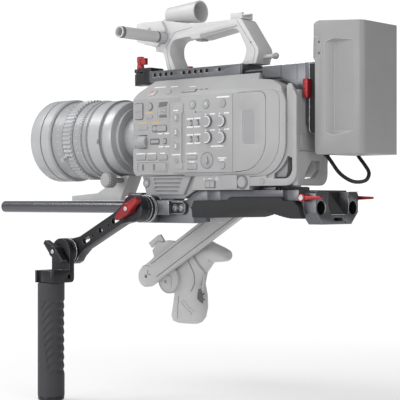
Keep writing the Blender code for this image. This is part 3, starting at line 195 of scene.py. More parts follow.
FINISH = {
    "rig_grey": finish(
        "anodised_grey", tone(103, 104, 108), 0.38, 0.8, 0.16, 0.010, edge_colour=tone(225), edge_strength=0.8
    ),
    "rig_black": finish(
        "anodised_black", tone(44, 44, 47), 0.34, 0.6, 0.16, 0.010, edge_colour=tone(170), edge_strength=0.5
    ),
    "rod_black": finish(
        "rod_black", tone(100, 101, 105), 0.27, 0.9, 0.40, 0.0001, blotch=0.02, edge_radius=0.0
    ),
    "red": finish(
        "anodised_red", tone(138, 28, 34), 0.36, 0.45, 0.14, 0.008, edge_colour=tone(226, 104, 106), blotch=0.04
    ),
    "steel": finish(
        "bright_steel", tone(206, 208, 212), 0.28, 0.9, 0.10, 0.006, edge_colour=tone(240), stretch=(1.0, 1.0, 0.2)
    ),
    "pad_rubber": finish(
        "pad_rubber", tone(47, 47, 49), 0.82, 0.0, 1.1, 0.16, "VORONOI", 0.10, 0.6, tone(76), 0.3, 0.25
    ),
    "grip_rubber": finish(
        "grip_rubber", tone(55, 55, 58), 0.60, 0.0, 0.55, 0.05, "VORONOI", 0.07, 0.4, tone(90), 0.3, 0.35
    ),
    "shell": finish(
        "camera_shell", tone(150, 150, 151), 0.44, 0.0, 0.42, 0.028, blotch=0.035, edge_colour=tone(214),
        edge_strength=0.8,
    ),
    # Painted light: the camera shell's own plastic made lighter, so the handle, arm, grips and lens foot look more
    # brightly lit.
    "shell_painted_lighter": finish(
        "shell_painted_lighter", tone(188, 188, 189), 0.46, 0.0, 0.42, 0.028, blotch=0.035, edge_colour=tone(216),
        edge_strength=0.7,
    ),
    "battery_shell": finish(
        "battery_shell", tone(136, 136, 137), 0.46, 0.0, 0.5, 0.03, blotch=0.03, edge_radius=0.7,
        edge_colour=tone(208), edge_strength=0.8,
    ),
    "dark_shell": finish(
        "camera_shell_dark", tone(140, 140, 142), 0.55, 0.0, 0.42, 0.03, blotch=0.05, edge_colour=tone(184)
    ),
    "button": finish(
        "button_plastic", tone(146, 146, 148), 0.38, 0.0, 0.20, 0.008, blotch=0.03, edge_radius=0.3,
        edge_colour=tone(206), edge_strength=0.8,
    ),
    # Dark grey for gaps, seams, vents and grooves: their own dark joints, made deeper as painted shade.
    "recess": finish("recess_dark_and_painted_shade", tone(98, 98, 100), 0.7, 0.0, 0.5, 0.03, edge_colour=tone(128)),
    "lens": finish(
        "lens_satin", tone(166, 167, 169), 0.34, 0.12, 0.12, 0.001, blotch=0.015, edge_radius=0.0,
        stretch=(1.0, 0.1, 1.0),
    ),
    # Painted shade: the lens's satin finish made darker on the zoom and focus rings, for the dark band across them.
    "lens_shade": finish(
        "lens_satin_painted_shade", tone(148, 149, 151), 0.36, 0.12, 0.12, 0.001, blotch=0.015, edge_radius=0.0,
        stretch=(1.0, 0.1, 1.0),
    ),
    "lens_groove": finish("lens_groove", tone(112, 112, 115), 0.5, 0.1, 0.3, 0.01, edge_colour=tone(140)),
    # Near black: the side plate's dark inlay, and painted shade in the rear clamp's pocket and bores.
    "dark_inlay_and_pocket_shade": finish(
        "dark_inlay_and_pocket_shade", tone(30, 30, 32), 0.45, 0.3, 0.16, 0.008, edge_colour=tone(110), edge_strength=0.4
    ),
    "cable": finish(
        "cable_jacket", tone(20, 20, 21), 0.42, 0.0, 0.5, 0.04, edge_colour=tone(34), specular=0.4
    ),
    # Near black: the lens hood's baffles, and painted shade in the gap between the battery and its plate.
    "black_and_gap_shade": finish("black_and_gap_shade", tone(24, 24, 25), 0.8, 0.0, 0.5, 0.02, edge_colour=tone(36)),
    "ink": finish("white_ink", tone(232), 0.6, 0.0, 0.2, 0.004, blotch=0.02, edge_radius=0.05),
    "orange_ink": finish("orange_ink", tone(208, 160, 88), 0.6, 0.0, 0.2, 0.004, blotch=0.02, edge_radius=0.05),
    "red_ink": finish("red_ink", tone(206, 84, 84), 0.6, 0.0, 0.2, 0.004, blotch=0.02, edge_radius=0.05),
}


def glass_finish(name, colour):
    """Coated optical glass: a dark mirror with a slow colour drift across it."""
    material = finish(name, colour, 0.08, 0.0, 0.5, 0.0005, blotch=0.02, coat=1.0)
    tree = material.node_tree
    shader = tree.nodes["Principled BSDF"]
    shader.inputs["Coat Roughness"].default_value = 0.02
    shader.inputs["Thin Film Thickness"].default_value = 420.0
    return material


FINISH["glass"] = glass_finish("coated_glass", tone(58, 62, 74))

NODE_FINISH = {
    "rig_grey": (
        "shoulder_base rear_rod_clamp front_rod_clamp camera_slide_plate top_plate battery_bracket battery_plate "
        "side_rosette"
    ),
    "rig_black": (
        "extension_arm grip_bracket bracket_lever top_rod_clamp bracket_rod_left bracket_rod_right "
        "grip_core grip_end_cap"
    ),
    "rod_black": "rod_left rod_right",
    "red": (
        "rear_lever_left rear_lever_right front_lever arm_lever top_clamp_lever plate_thumb_screw "
        "battery_release_lever"
    ),
    "shell": "camera_body rear_guard operator_panel panel_door lens_foot_knob",
    "shell_painted_lighter": (
        "top_handle microphone_holder accessory_shoe viewfinder_rod camera_grip_arm camera_grip lens_foot"
    ),
    "battery_shell": "battery_pack",
    "dark_shell": "rear_module vent_grille",
    "button": (
        "audio_dial_1 audio_dial_2 audio_dial_3 audio_dial_4 assign_button_1 assign_button_2 assign_button_3 "
        "menu_joystick filter_dial"
    ),
    "lens": "lens_mount lens_barrel iris_ring lens_hood",
    "lens_shade": "zoom_ring focus_ring",
    "cable": "power_cable",
    "glass": "front_lens image_sensor",
}


def smoothing_tree(name, welds):
    """A geometry tree for CAD nodes: either welds their split faces, or smooths all but the sharp edges."""
    tree = bpy.data.node_groups.new(name, "GeometryNodeTree")
    tree.interface.new_socket("Geometry", in_out="INPUT", socket_type="NodeSocketGeometry")
    tree.interface.new_socket("Geometry", in_out="OUTPUT", socket_type="NodeSocketGeometry")
    start = tree.nodes.new("NodeGroupInput").outputs["Geometry"]
    end = tree.nodes.new("NodeGroupOutput").inputs["Geometry"]
    if welds:
        plain = tree.nodes.new("GeometryNodeRemoveAttribute")
        plain.inputs["Name"].default_value = "custom_normal"
        weld = tree.nodes.new("GeometryNodeMergeByDistance")
        weld.inputs["Distance"].default_value = 0.000005
        tree.links.new(start, plain.inputs["Geometry"])
        tree.links.new(plain.outputs["Geometry"], weld.inputs["Geometry"])
        tree.links.new(weld.outputs["Geometry"], end)
        return tree
    faces = tree.nodes.new("GeometryNodeSetShadeSmooth")
    faces.domain = "FACE"
    edges = tree.nodes.new("GeometryNodeSetShadeSmooth")
    edges.domain = "EDGE"
    fold = tree.nodes.new("GeometryNodeInputMeshEdgeAngle")
    soft = tree.nodes.new("FunctionNodeCompare")
    soft.operation = "LESS_THAN"
    soft.inputs["B"].default_value = math.radians(32)
    tree.links.new(start, faces.inputs["Geometry"])
    tree.links.new(faces.outputs["Geometry"], edges.inputs["Geometry"])
    tree.links.new(fold.outputs["Unsigned Angle"], soft.inputs["A"])
    tree.links.new(soft.outputs["Result"], edges.inputs["Shade Smooth"])
    tree.links.new(edges.outputs["Geometry"], end)
    return tree


def dress_cad_nodes():
    """Gives each CAD node its finish and, over its own unchanged mesh, small rounded edges."""
    weld = smoothing_tree("weld_faces", True)
    smooth = smoothing_tree("smooth_faces", False)
    edge_widths = {
        "shell": 0.5,
        "shell_painted_lighter": 0.5,
        "battery_shell": 0.5,
        "dark_shell": 0.4,
        "rig_grey": 0.35,
        "rig_black": 0.3,
        "red": 0.3,
    }
    for key, names in NODE_FINISH.items():
        for name in names.split():
            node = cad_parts[name]
            node.data.materials.clear()
            node.data.materials.append(FINISH[key])
            node.modifiers.new("Weld", "NODES").node_group = weld
            if key in edge_widths:
                flat = node.modifiers.new("Flat", "DECIMATE")
                flat.decimate_type = "DISSOLVE"
                flat.angle_limit = math.radians(1.0)
                bevel = node.modifiers.new("Bevel", "BEVEL")
                bevel.width = edge_widths[key] * MM
                bevel.segments = 2
                bevel.limit_method = "ANGLE"
                bevel.angle_limit = math.radians(35)
                bevel.use_clamp_overlap = True
            node.modifiers.new("Smooth", "NODES").node_group = smooth


# ---------------------------------------------------------------- shapes


def merge(shape, part):
    """Adds one bmesh's faces to another and frees it."""
    bmesh.ops.recalc_face_normals(part, faces=part.faces)
    mesh = bpy.data.meshes.new("part")
    part.to_mesh(mesh)
    part.free()
    shape.from_mesh(mesh)
    bpy.data.meshes.remove(mesh)


def block(shape, low, high, edge=0.3):
    """A box between two corners, with rounded edges."""
    low, high = Vector(low), Vector(high)
    part = bmesh.new()
    bmesh.ops.create_cube(part, size=1.0)
    part.transform(Matrix.Translation((low + high) / 2) @ Matrix.Diagonal((*(high - low), 1.0)))
    if edge:
        reach = min(edge, 0.45 * min(high - low))
        bmesh.ops.bevel(part, geom=part.edges, offset=reach, segments=2, profile=0.6, affect="EDGES")
    merge(shape, part)


def placed(axis, u, v, along):
    """A point from two places across an axis and one along it: (Y, Z, X), (X, Z, Y) or (X, Y, Z)."""
    if axis == "X":
        return (along, u, v)
    return (u, along, v) if axis == "Y" else (u, v, along)


def turned(shape, axis, centre, profile, steps=48, wave=None, ring=False):
    """A profile of (radius, place along) turned about an axis through the centre (u, v).

    wave(angle, radius, along) may change each point's radius, for knurls, teeth and sockets.
    """
    part = bmesh.new()
    rows = []
    for radius, along in profile:
        if radius == 0.0:
            rows.append([part.verts.new(placed(axis, *centre, along))])
            continue
        row = []
        for step in range(steps):
            angle = 2 * math.pi * step / steps
            reach = wave(angle, radius, along) if wave else radius
            u = centre[0] + reach * math.cos(angle)
            v = centre[1] + reach * math.sin(angle)
            row.append(part.verts.new(placed(axis, u, v, along)))
        rows.append(row)
    pairs = list(zip(rows, rows[1:]))
    if ring:
        pairs.append((rows[-1], rows[0]))
    for first, second in pairs:
        for step in range(steps):
            following = (step + 1) % steps
            if len(first) == 1:
                part.faces.new((first[0], second[step], second[following]))
            elif len(second) == 1:
                part.faces.new((first[step], second[0], first[following]))
            else:
                part.faces.new((first[step], second[step], second[following], first[following]))
    merge(shape, part)


def rounded(corners, steps=5):
    """A closed outline from corners (u, v) or (u, v, radius); a radius turns its corner into an arc."""
    outline = []
    for index, corner in enumerate(corners):
        point = Vector(corner[:2])
        if len(corner) == 2:
            outline.append(tuple(point))
            continue
        before = Vector(corners[index - 1][:2]) - point
        after = Vector(corners[(index + 1) % len(corners)][:2]) - point
        turn = before.angle(after)
        reach = corner[2] / math.tan(turn / 2)
        start = point + before.normalized() * reach
        end = point + after.normalized() * reach
        middle = point + (before.normalized() + after.normalized()).normalized() * (
            corner[2] / math.sin(turn / 2)
        )
        sweep = (start - middle).angle_signed(end - middle)
        for step in range(steps + 1):
            arm = (start - middle).copy()
            arm.rotate(Matrix.Rotation(-sweep * step / steps, 2))
            outline.append(tuple(middle + arm))
    return outline


def oblong(u0, u1, v0, v1, radius):
    """A rectangle's outline with round corners."""
    return rounded([(u0, v0, radius), (u1, v0, radius), (u1, v1, radius), (u0, v1, radius)])


def arc(centre, radii, start_degrees, end_degrees, steps=10):
    """Points on an ellipse's arc."""
    points = []
    for step in range(steps + 1):
        angle = math.radians(start_degrees + (end_degrees - start_degrees) * step / steps)
        points.append((centre[0] + radii[0] * math.cos(angle), centre[1] + radii[1] * math.sin(angle)))
    return points


def slab(shape, axis, outline, low, high, edge=0.25):
    """An outline extruded along an axis, with its far rim rounded."""
    part = bmesh.new()
    near = [part.verts.new(placed(axis, u, v, low)) for u, v in outline]
    far = [part.verts.new(placed(axis, u, v, high)) for u, v in outline]
    part.faces.new(near)
    top = part.faces.new(far)
    count = len(outline)
    for index in range(count):
        after = (index + 1) % count
        part.faces.new((near[index], near[after], far[after], far[index]))
    if edge:
        reach = min(edge, 0.45 * abs(high - low))
        bmesh.ops.bevel(part, geom=list(top.edges), offset=reach, segments=2, profile=0.6, affect="EDGES")
    merge(shape, part)


def stroke(shape, axis, path, along, radius, closed=False, sides=8):
    """A thin round bead laid along a flat path, for seams, ridges and printed lines."""
    part = bmesh.new()
    points = [Vector(point) for point in path]
    rings = []
    for index, point in enumerate(points):
        before = points[index - 1] if index or closed else point
        after = points[(index + 1) % len(points)] if index + 1 < len(points) or closed else point
        way = (after - before).normalized()
        across = Vector((-way.y, way.x))
        ring = []
        for side in range(sides):
            angle = 2 * math.pi * side / sides
            spot = point + across * radius * math.cos(angle)
            ring.append(part.verts.new(placed(axis, *spot, along + radius * math.sin(angle))))
        rings.append(ring)
    pairs = list(zip(rings, rings[1:]))
    if closed:
        pairs.append((rings[-1], rings[0]))
    else:
        part.faces.new(rings[0])
        part.faces.new(rings[-1])
    for first, second in pairs:
        for side in range(sides):
            after = (side + 1) % sides
            part.faces.new((first[side], second[side], second[after], first[after]))
    merge(shape, part)


def digit(shape, text, centre, size, x, thickness=0.12):
    """A raised numeral on a face that looks along +X, centred on (Y, Z)."""
    curve = bpy.data.curves.new("digit", "FONT")
    curve.body = text
    curve.size = size
    curve.extrude = thickness / 2
    curve.align_x = "CENTER"
    curve.align_y = "CENTER"
    holder = bpy.data.objects.new("digit", curve)
    bpy.context.scene.collection.objects.link(holder)
    bpy.context.view_layer.update()
    graph = bpy.context.evaluated_depsgraph_get()
    mesh = bpy.data.meshes.new_from_object(holder.evaluated_get(graph))
    facing = Matrix(((0, 0, 1, x + thickness / 2), (1, 0, 0, centre[0]), (0, 1, 0, centre[1]), (0, 0, 0, 1)))
    mesh.transform(facing)
    shape.from_mesh(mesh)
    bpy.data.objects.remove(holder)
    bpy.data.meshes.remove(mesh)


def piece(name, shape, key, body, turn=None, soft_angle=35):
    """A finished mesh as an object in the row frame, with its finish, riding on a body."""
    if turn:
        shape.transform(turn)
    shape.transform(Matrix.Translation((0.0, 0.0, ROD_Z)) @ Matrix.Scale(MM, 4))
    mesh = bpy.data.meshes.new(name)
    shape.to_mesh(mesh)
    shape.free()
    mesh.shade_smooth()
    mesh.set_sharp_from_angle(angle=math.radians(soft_angle))
    mesh.materials.append(FINISH[key])
    made = bpy.data.objects.new(name, mesh)
    bpy.context.scene.collection.objects.link(made)
    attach(made, body)
    return made


def hexagon_socket(socket_radius):
    """A wave that turns the inner rows of a screw's profile into a hexagonal socket."""

    def wave(angle, radius, along):
        if radius > socket_radius:
            return radius
        corner = (angle + math.pi / 6) % (math.pi / 3) - math.pi / 6
        return radius * math.cos(math.pi / 6) / math.cos(corner)

    return wave


def screw_head(shape, axis, centre, radius, seat, top):
    """A cylinder-head screw with a hexagonal socket, from its seat to its top along an axis."""
    way = 1 if top > seat else -1
    socket = radius * 0.55
    depth = min(0.8, abs(top - seat) * 0.8) * way
    profile = [
        (0.0, top - depth),
        (socket, top - depth),
        (socket, top),
        (radius - 0.25, top),
        (radius, top - 0.25 * way),
        (radius, seat),
        (0.0, seat),
    ]
    turned(shape, axis, centre, profile, 48, hexagon_socket(socket))


def hulled(shape, points):
    """The convex solid round some points."""
    part = bmesh.new()
    for point in points:
        part.verts.new(point)
    made = bmesh.ops.convex_hull(part, input=part.verts)
    inner = [item for item in made["geom_interior"] if isinstance(item, bmesh.types.BMVert)]
    bmesh.ops.delete(part, geom=inner, context="VERTS")
    merge(shape, part)


# ---------------------------------------------------------------- rig details

RECESS_FLOOR_Y = -12.15


def teeth(count, depth):
    """A wave of square-shouldered teeth round a rim."""

    def wave(angle, radius, along):
        return radius - depth * (0.5 - 0.5 * math.tanh(3 * math.cos(angle * count)))

    return wave


def rosette_rings(name, centre, places, crown, body):
    """Bright turned rims round a rosette, and the crown of radial teeth between its halves."""
    shape = bmesh.new()
    for place in places:
        turned(
            shape,
            "X",
            centre,
            [(14.0, place - 0.28), (16.15, place - 0.28), (16.3, place), (16.15, place + 0.28), (14.0, place + 0.28)],
            72,
            ring=True,
        )
    piece(name + "_rims", shape, "steel", body)
    shape = bmesh.new()
    turned(
        shape,
        "X",
        centre,
        [(12.9, crown[0]), (15.3, crown[0]), (15.3, crown[1]), (12.9, crown[1])],
        240,
        teeth(60, 0.9),
        ring=True,
    )
    piece(name + "_teeth", shape, "rig_black", body)


def rosettes():
    """The toothed faces of the two rosettes and the black sleeve round the fixed one."""
    upper = (-236.0, -1.5)
    lower = (-342.5, -54.0)
    rosette_rings("upper_rosette_inner", upper, (56.4, 58.7), (60.0, 61.6), "rig_frame")
    rosette_rings("upper_rosette_outer", upper, (64.4,), (61.9, 63.6), "arm_body")
    rosette_rings("lower_rosette_inner", lower, (82.2,), (82.7, 83.55), "arm_body")
    rosette_rings("lower_rosette_outer", lower, (86.1,), (83.85, 85.4), "grip_body")
    shape = bmesh.new()
    turned(shape, "X", upper, [(15.9, 47.5), (16.25, 47.5), (16.25, 55.9), (15.9, 55.9)], 72, ring=True)
    turned(shape, "X", upper, [(13.0, 59.05), (15.9, 59.05), (15.9, 59.8), (13.0, 59.8)], 72, ring=True)
    piece("rosette_sleeve", shape, "rig_black", "rig_frame")


def lever_screws():
    """The socket screws that hold the clamping levers, and the screws of the fixed brackets."""
    for name, body, centre, seat, top, radius in (
        ("rear_lever_left_screw", "rear_lever_left_body", (-11.0, 11.0), 52.0, 52.7, 2.9),
        ("rear_lever_right_screw", "rear_lever_right_body", (-11.0, 11.0), -52.0, -52.7, 2.9),
        ("front_lever_screw", "front_lever_body", (-274.5, 11.0), 52.0, 52.7, 2.9),
        ("arm_lever_screw", "arm_lever_body", (-236.0, -1.5), 93.5, 94.1, 2.6),
        ("bracket_lever_screw", "bracket_lever_body", (-342.5, -54.0), 111.5, 112.1, 2.5),
    ):
        shape = bmesh.new()
        screw_head(shape, "X", centre, radius, seat, top)
        piece(name, shape, "steel", body)
    shape = bmesh.new()
    for y in (-197.0, -187.0):
        screw_head(shape, "X", (y, -0.6), 2.3, 50.0, 50.7)
    for y in (-158.0, -96.0):
        for x in (-30.0, 30.0):
            screw_head(shape, "Z", (x, y), 2.6, 19.5, 20.0)
    # Painted highlight: a thin bright steel strip on the edge of the side plate's raised block.
    block(shape, (54.7, -203.3, -8.5), (55.2, -202.7, 7.5), 0.1)
    piece("side_plate_screws_and_highlight", shape, "steel", "rig_frame")
    shape = bmesh.new()
    inlay = [(-203.5, -7.0), (-185.4, -7.0), (-182.1, -3.7), (-182.1, 2.7), (-185.4, 6.0), (-203.5, 6.0)]
    slab(shape, "X", inlay, 49.9, 50.15, 0.0)
    piece("side_plate_inlay", shape, "dark_inlay_and_pocket_shade", "rig_frame")
    shape = bmesh.new()
    for y in (-197.0, -187.0):
        turned(shape, "X", (y, -0.6), [(3.2, 50.0), (4.1, 50.0), (4.1, 50.35), (3.2, 50.35)], 32, ring=True)
    stroke(
        shape,
        "X",
        [(-204.0, -7.2), (-185.4, -7.2), (-181.9, -3.7), (-181.9, 2.7), (-185.4, 6.2), (-204.0, 6.2)],
        50.0,
        0.28,
    )
    piece("side_plate_rims", shape, "rig_grey", "rig_frame")


def plate_threads():
    """Thread ridges inside the rows of holes along the top plate."""
    shape = bmesh.new()
    rows = [-253.5 + 9.1 * step for step in range(4)] + [-206.0 + 9.1 * step for step in range(5)] + [-150.0]
    for y in rows:
        for side in (-1, 1):
            for turn in range(4):
                x = side * (24.4 - 1.1 * turn)
                profile = [(2.35, x), (2.68, x - 0.35), (2.68, x + 0.35)]
                turned(shape, "X", (y, 160.7), profile, 24, ring=True)
    piece("top_plate_threads", shape, "rig_black", "rig_frame")


def knurl(count, depth):
    """A wave of fine ridges round a knob."""

    def wave(angle, radius, along):
        return radius + depth * (0.5 + 0.5 * math.cos(angle * count))

    return wave


def knobs():
    """Knurled sleeves on the small clamp's lever and the thumb screw."""
    shape = bmesh.new()
    for low, high in ((172.0, 175.4), (180.0, 186.0)):
        turned(shape, "Z", (12.0, -290.0), [(3.9, low), (4.25, low + 0.3), (4.25, high - 0.3), (3.9, high)], 144,
               knurl(36, 0.3), ring=True)
    piece("top_clamp_knurl", shape, "red", "top_clamp_lever_body")
    shape = bmesh.new()
    turned(shape, "Z", (12.0, -290.0), [(0.0, 186.3), (2.6, 186.3), (2.9, 186.75), (0.0, 186.75)], 32)
    piece("top_clamp_cap", shape, "steel", "top_clamp_lever_body")
    shape = bmesh.new()
    turned(shape, "Z", (0.0, -218.0), [(2.4, 168.4), (3.3, 168.6), (3.5, 170.7), (2.4, 170.7)], 96,
           knurl(24, 0.25), ring=True)
    piece("thumb_screw_knurl", shape, "red", "thumb_screw_body")
    shape = bmesh.new()
    turned(shape, "Z", (12.0, -290.0), [(6.9, 166.9), (7.35, 167.1), (7.35, 170.4), (6.9, 170.6)], 144,
           knurl(28, 0.35), ring=True)
    turned(shape, "Z", (12.0, -290.0), [(4.2, 164.7), (5.6, 164.7), (5.6, 166.3), (4.2, 166.3)], 48, ring=True)
    turned(shape, "Z", (12.0, -290.0), [(6.9, 155.4), (7.3, 155.6), (7.3, 163.2), (6.9, 163.4)], 6, ring=True)
    piece("top_clamp_collars", shape, "rig_black", "rig_frame")


def clamp_details():
    """Painted highlight lines along the rear clamp's chamfers, painted shade lining its pocket and bores, its
    serrations, and the set screws under the shoulder base.
    """
    shape = bmesh.new()
    # Painted highlights: bright steel lines along the clamp's chamfered edges, a bore rim and a rib inside its pocket.
    stroke(shape, "Y", [(11.6, -7.35), (-14.8, -7.35)], 0.0, 0.3)
    stroke(shape, "Y", [(-21.4, 10.0), (-21.4, -0.4)], 0.0, 0.3)
    stroke(shape, "Y", [(10.0, 16.6), (-13.9, -0.8)], RECESS_FLOOR_Y + 0.6, 0.36)
    stroke(shape, "Y", arc((30.0, 0.0), (8.0, 8.0), 150, 215), 0.0, 0.26)
    piece("rear_clamp_edge_highlights", shape, "steel", "rig_frame")
    shape = bmesh.new()
    # Painted shade: a near-black floor and filler in the clamp's pocket, and thin dark sleeves inside its bores round
    # the rods.
    floor = [(16.4, 0.9), (11.7, -7.1), (-19.9, -7.1), (-21.1, -5.5), (-21.1, 17.5), (16.4, 17.5)]
    slab(shape, "Y", floor, RECESS_FLOOR_Y - 0.3, RECESS_FLOOR_Y, 0.0)
    hulled(
        shape,
        [
            (16.4, -0.4, 17.4),
            (16.4, -0.4, 0.9),
            (11.7, -0.4, -7.1),
            (16.4, RECESS_FLOOR_Y, 17.4),
            (16.4, RECESS_FLOOR_Y, 0.9),
            (11.7, RECESS_FLOOR_Y, -7.1),
            (10.5, RECESS_FLOOR_Y, 17.4),
            (-13.7, RECESS_FLOOR_Y, -0.7),
            (-17.5, RECESS_FLOOR_Y, -7.1),
            (-16.5, -1.5, -7.1),
        ],
    )
    for x in (-30.0, 30.0):
        turned(shape, "Y", (x, 0.0), [(7.7, -18.6), (7.78, -18.6), (7.78, -0.8), (7.7, -0.8)], 48, ring=True)
    piece("rear_clamp_pocket_shade", shape, "dark_inlay_and_pocket_shade", "rig_frame")
    shape = bmesh.new()
    for step in range(6):
        y = -7.6 + 1.5 * step
        stroke(shape, "Z", [(34.5, y - 1.2), (39.6, y + 0.6)], 17.7, 0.32)
        stroke(shape, "Z", [(-34.5, y - 1.2), (-39.6, y + 0.6)], 17.7, 0.32)
    piece("rear_clamp_serrations", shape, "rig_grey", "rig_frame")
    shape = bmesh.new()
    for x in (-22.0, -11.0, 0.0, 11.0, 22.0):
        screw_head(shape, "Z", (x, -215.0), 2.2, -18.5, -18.9)
    for x in (-26.0, 26.0):
        for y in (-250.0, -190.0):
            screw_head(shape, "Z", (x, y), 3.2, -18.5, -19.0)
    piece("base_under_screws", shape, "steel", "rig_frame")


def pad():
    """The moulded rubber pad: rounded sides, a ribbed arch and a fine grain."""
    low, high = node_box("shoulder_pad")
    arch_front, arch_rear, arch_height = -141.0, -26.0, 10.8
    steps, ribs = 184, 23
    arch = []
    for step in range(steps + 1):
        share = step / steps
        rise = math.sin(math.pi * share ** 0.93) ** 1.6 * arch_height
        fade = math.sin(math.pi * share) ** 0.5 if 0 < share < 1 else 0.0
        rib = 0.55 * fade * (0.5 + 0.5 * math.cos(2 * math.pi * ribs * share))
        arch.append((arch_front + (arch_rear - arch_front) * share, low.z + rise + rib))
    top = rounded(
        [
            (-13.0, low.z),
            (-17.5, 1.0),
            (-24.5, 7.5, 3.0),
            (-38.0, 7.5),
            (-42.0, 11.5),
            (-116.5, 11.5),
            (-119.5, 7.5),
            (low.y, 7.5, 6.0),
            (low.y, low.z, 2.0),
        ],
        6,
    )
    shape = bmesh.new()
    slab(shape, "X", top + arch, low.x, high.x, 0.0)
    rims = [edge for edge in shape.edges if abs(edge.verts[0].co.x - edge.verts[1].co.x) < 0.001]
    bmesh.ops.bevel(shape, geom=rims, offset=0.35, segments=2, profile=0.6, affect="EDGES")
    mesh = bpy.data.meshes.new("clearance")
    cutter_shape = bmesh.new()
    block(cutter_shape, (-40.3, -19.3, -30.0), (40.3, 10.0, 30.0), 0.0)
    cutter_shape.transform(Matrix.Translation((0.0, 0.0, ROD_Z)) @ Matrix.Scale(MM, 4))
    cutter_shape.to_mesh(mesh)
    cutter_shape.free()
    cutter = bpy.data.objects.new("clearance", mesh)
    bpy.context.scene.collection.objects.link(cutter)
    made = piece("shoulder_pad_rubber", shape, "pad_rubber", "rig_frame")
    trim = made.modifiers.new("Trim", "BOOLEAN")
    trim.operation = "DIFFERENCE"
    trim.object = cutter
    bpy.context.view_layer.update()
    graph = bpy.context.evaluated_depsgraph_get()
    trimmed = bpy.data.meshes.new_from_object(made.evaluated_get(graph))
    made.modifiers.clear()
    made.data = trimmed
    bpy.data.objects.remove(cutter)
    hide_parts("shoulder_pad")


def grip_radius(angle, height, radius):
    """The grip's surface: a plain strip for the palm, and a sunk field of curved ribs for the fingers.

    The angle is measured from the strip's middle, in degrees.
    """
    field_top, field_bottom, pitch = -111.0, -202.0, 10.3
    share = (field_top - height) / (field_top - field_bottom)
    if share < -0.05 or share > 1.05:
        return radius
    edge_angle = 30 + 42 * max(0.0, min(1.0, share))
    inside = min((abs(angle) - edge_angle) / 9, 1.0)
    ends = min(share * 22, (1.0 - share) * 22, 1.0)
    depth = max(0.0, inside) * max(0.0, ends)
    bend = max(0.0, 125 - abs(angle)) / 68
    phase = (height + 12.5 * bend ** 2) / pitch
    saw = phase - math.floor(phase)
    rib = math.sin(math.pi * saw ** 0.62) ** 1.4
    return radius - depth * (1.5 - 1.15 * rib)


def grip_sleeve():
    """The rubber sleeve of the hand grip."""
    low, high = node_box("hand_grip")
    centre = ((low.x + high.x) / 2, (low.y + high.y) / 2)
    radius = (high.x - low.x) / 2
    facing = math.degrees(math.atan2(0.6626, 0.7490))
    strip_angle = facing - 80
    rows, columns = 230, 144
    shape = bmesh.new()
    grid = []
    for row in range(rows + 1):
        height = high.z + (low.z - high.z) * row / rows
        shrink = 0.6 if row == 0 else 0.0
        ring = []
        for column in range(columns):
            degrees = 360 * column / columns
            offset = (degrees - strip_angle + 180) % 360 - 180
            reach = grip_radius(offset, height, radius) - shrink
            x = centre[0] + reach * math.cos(math.radians(degrees))
            y = centre[1] + reach * math.sin(math.radians(degrees))
            ring.append(shape.verts.new((x, y, height)))
        grid.append(ring)
    inner = []
    for height in (low.z, high.z):
        ring = []
        for column in range(columns):
            angle = 2 * math.pi * column / columns
            ring.append(shape.verts.new((centre[0] + 12.0 * math.cos(angle), centre[1] + 12.0 * math.sin(angle), height)))
        inner.append(ring)
    loops = grid + inner
    for first, second in zip(loops, loops[1:] + loops[:1]):
        for column in range(columns):
            after = (column + 1) % columns
            shape.faces.new((first[column], second[column], second[after], first[after]))
    bmesh.ops.recalc_face_normals(shape, faces=shape.faces)
    made = piece("hand_grip_sleeve", shape, "grip_rubber", "grip_body", soft_angle=50)
    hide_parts("hand_grip")


# ---------------------------------------------------------------- camera side panel


def caption(shape, start, end, height, z, x):
    """A short row of plain printed bars where a control's name would be."""
    widths = (1.5, 1.1, 1.7, 1.2)
    height *= 0.72
    y, index = start, 0
    while y < end - 0.5:
        width = min(widths[index % len(widths)], end - y)
        block(shape, (x, y, z - height / 2), (x + 0.06, y + width, z + height / 2), 0.0)
        y += width + 0.55
        index += 1


def round_button(shape, centre, radius, x, height=0.9, dish=0.25):
    """A round push button with a slightly dished top."""
    profile = [
        (0.0, x + height - dish),
        (radius * 0.7, x + height - dish * 0.5),
        (radius - 0.35, x + height),
        (radius, x + height - 0.35),
        (radius, x - 0.3),
        (0.0, x - 0.3),
    ]
    turned(shape, "X", centre, profile, 40)


def ring_groove(shape, centre, radius, x, width=0.35):
    """The dark gap round a button."""
    turned(shape, "X", centre, [(radius, x - 0.2), (radius + width, x - 0.2), (radius + width, x + 0.05), (radius, x + 0.05)], 40, ring=True)


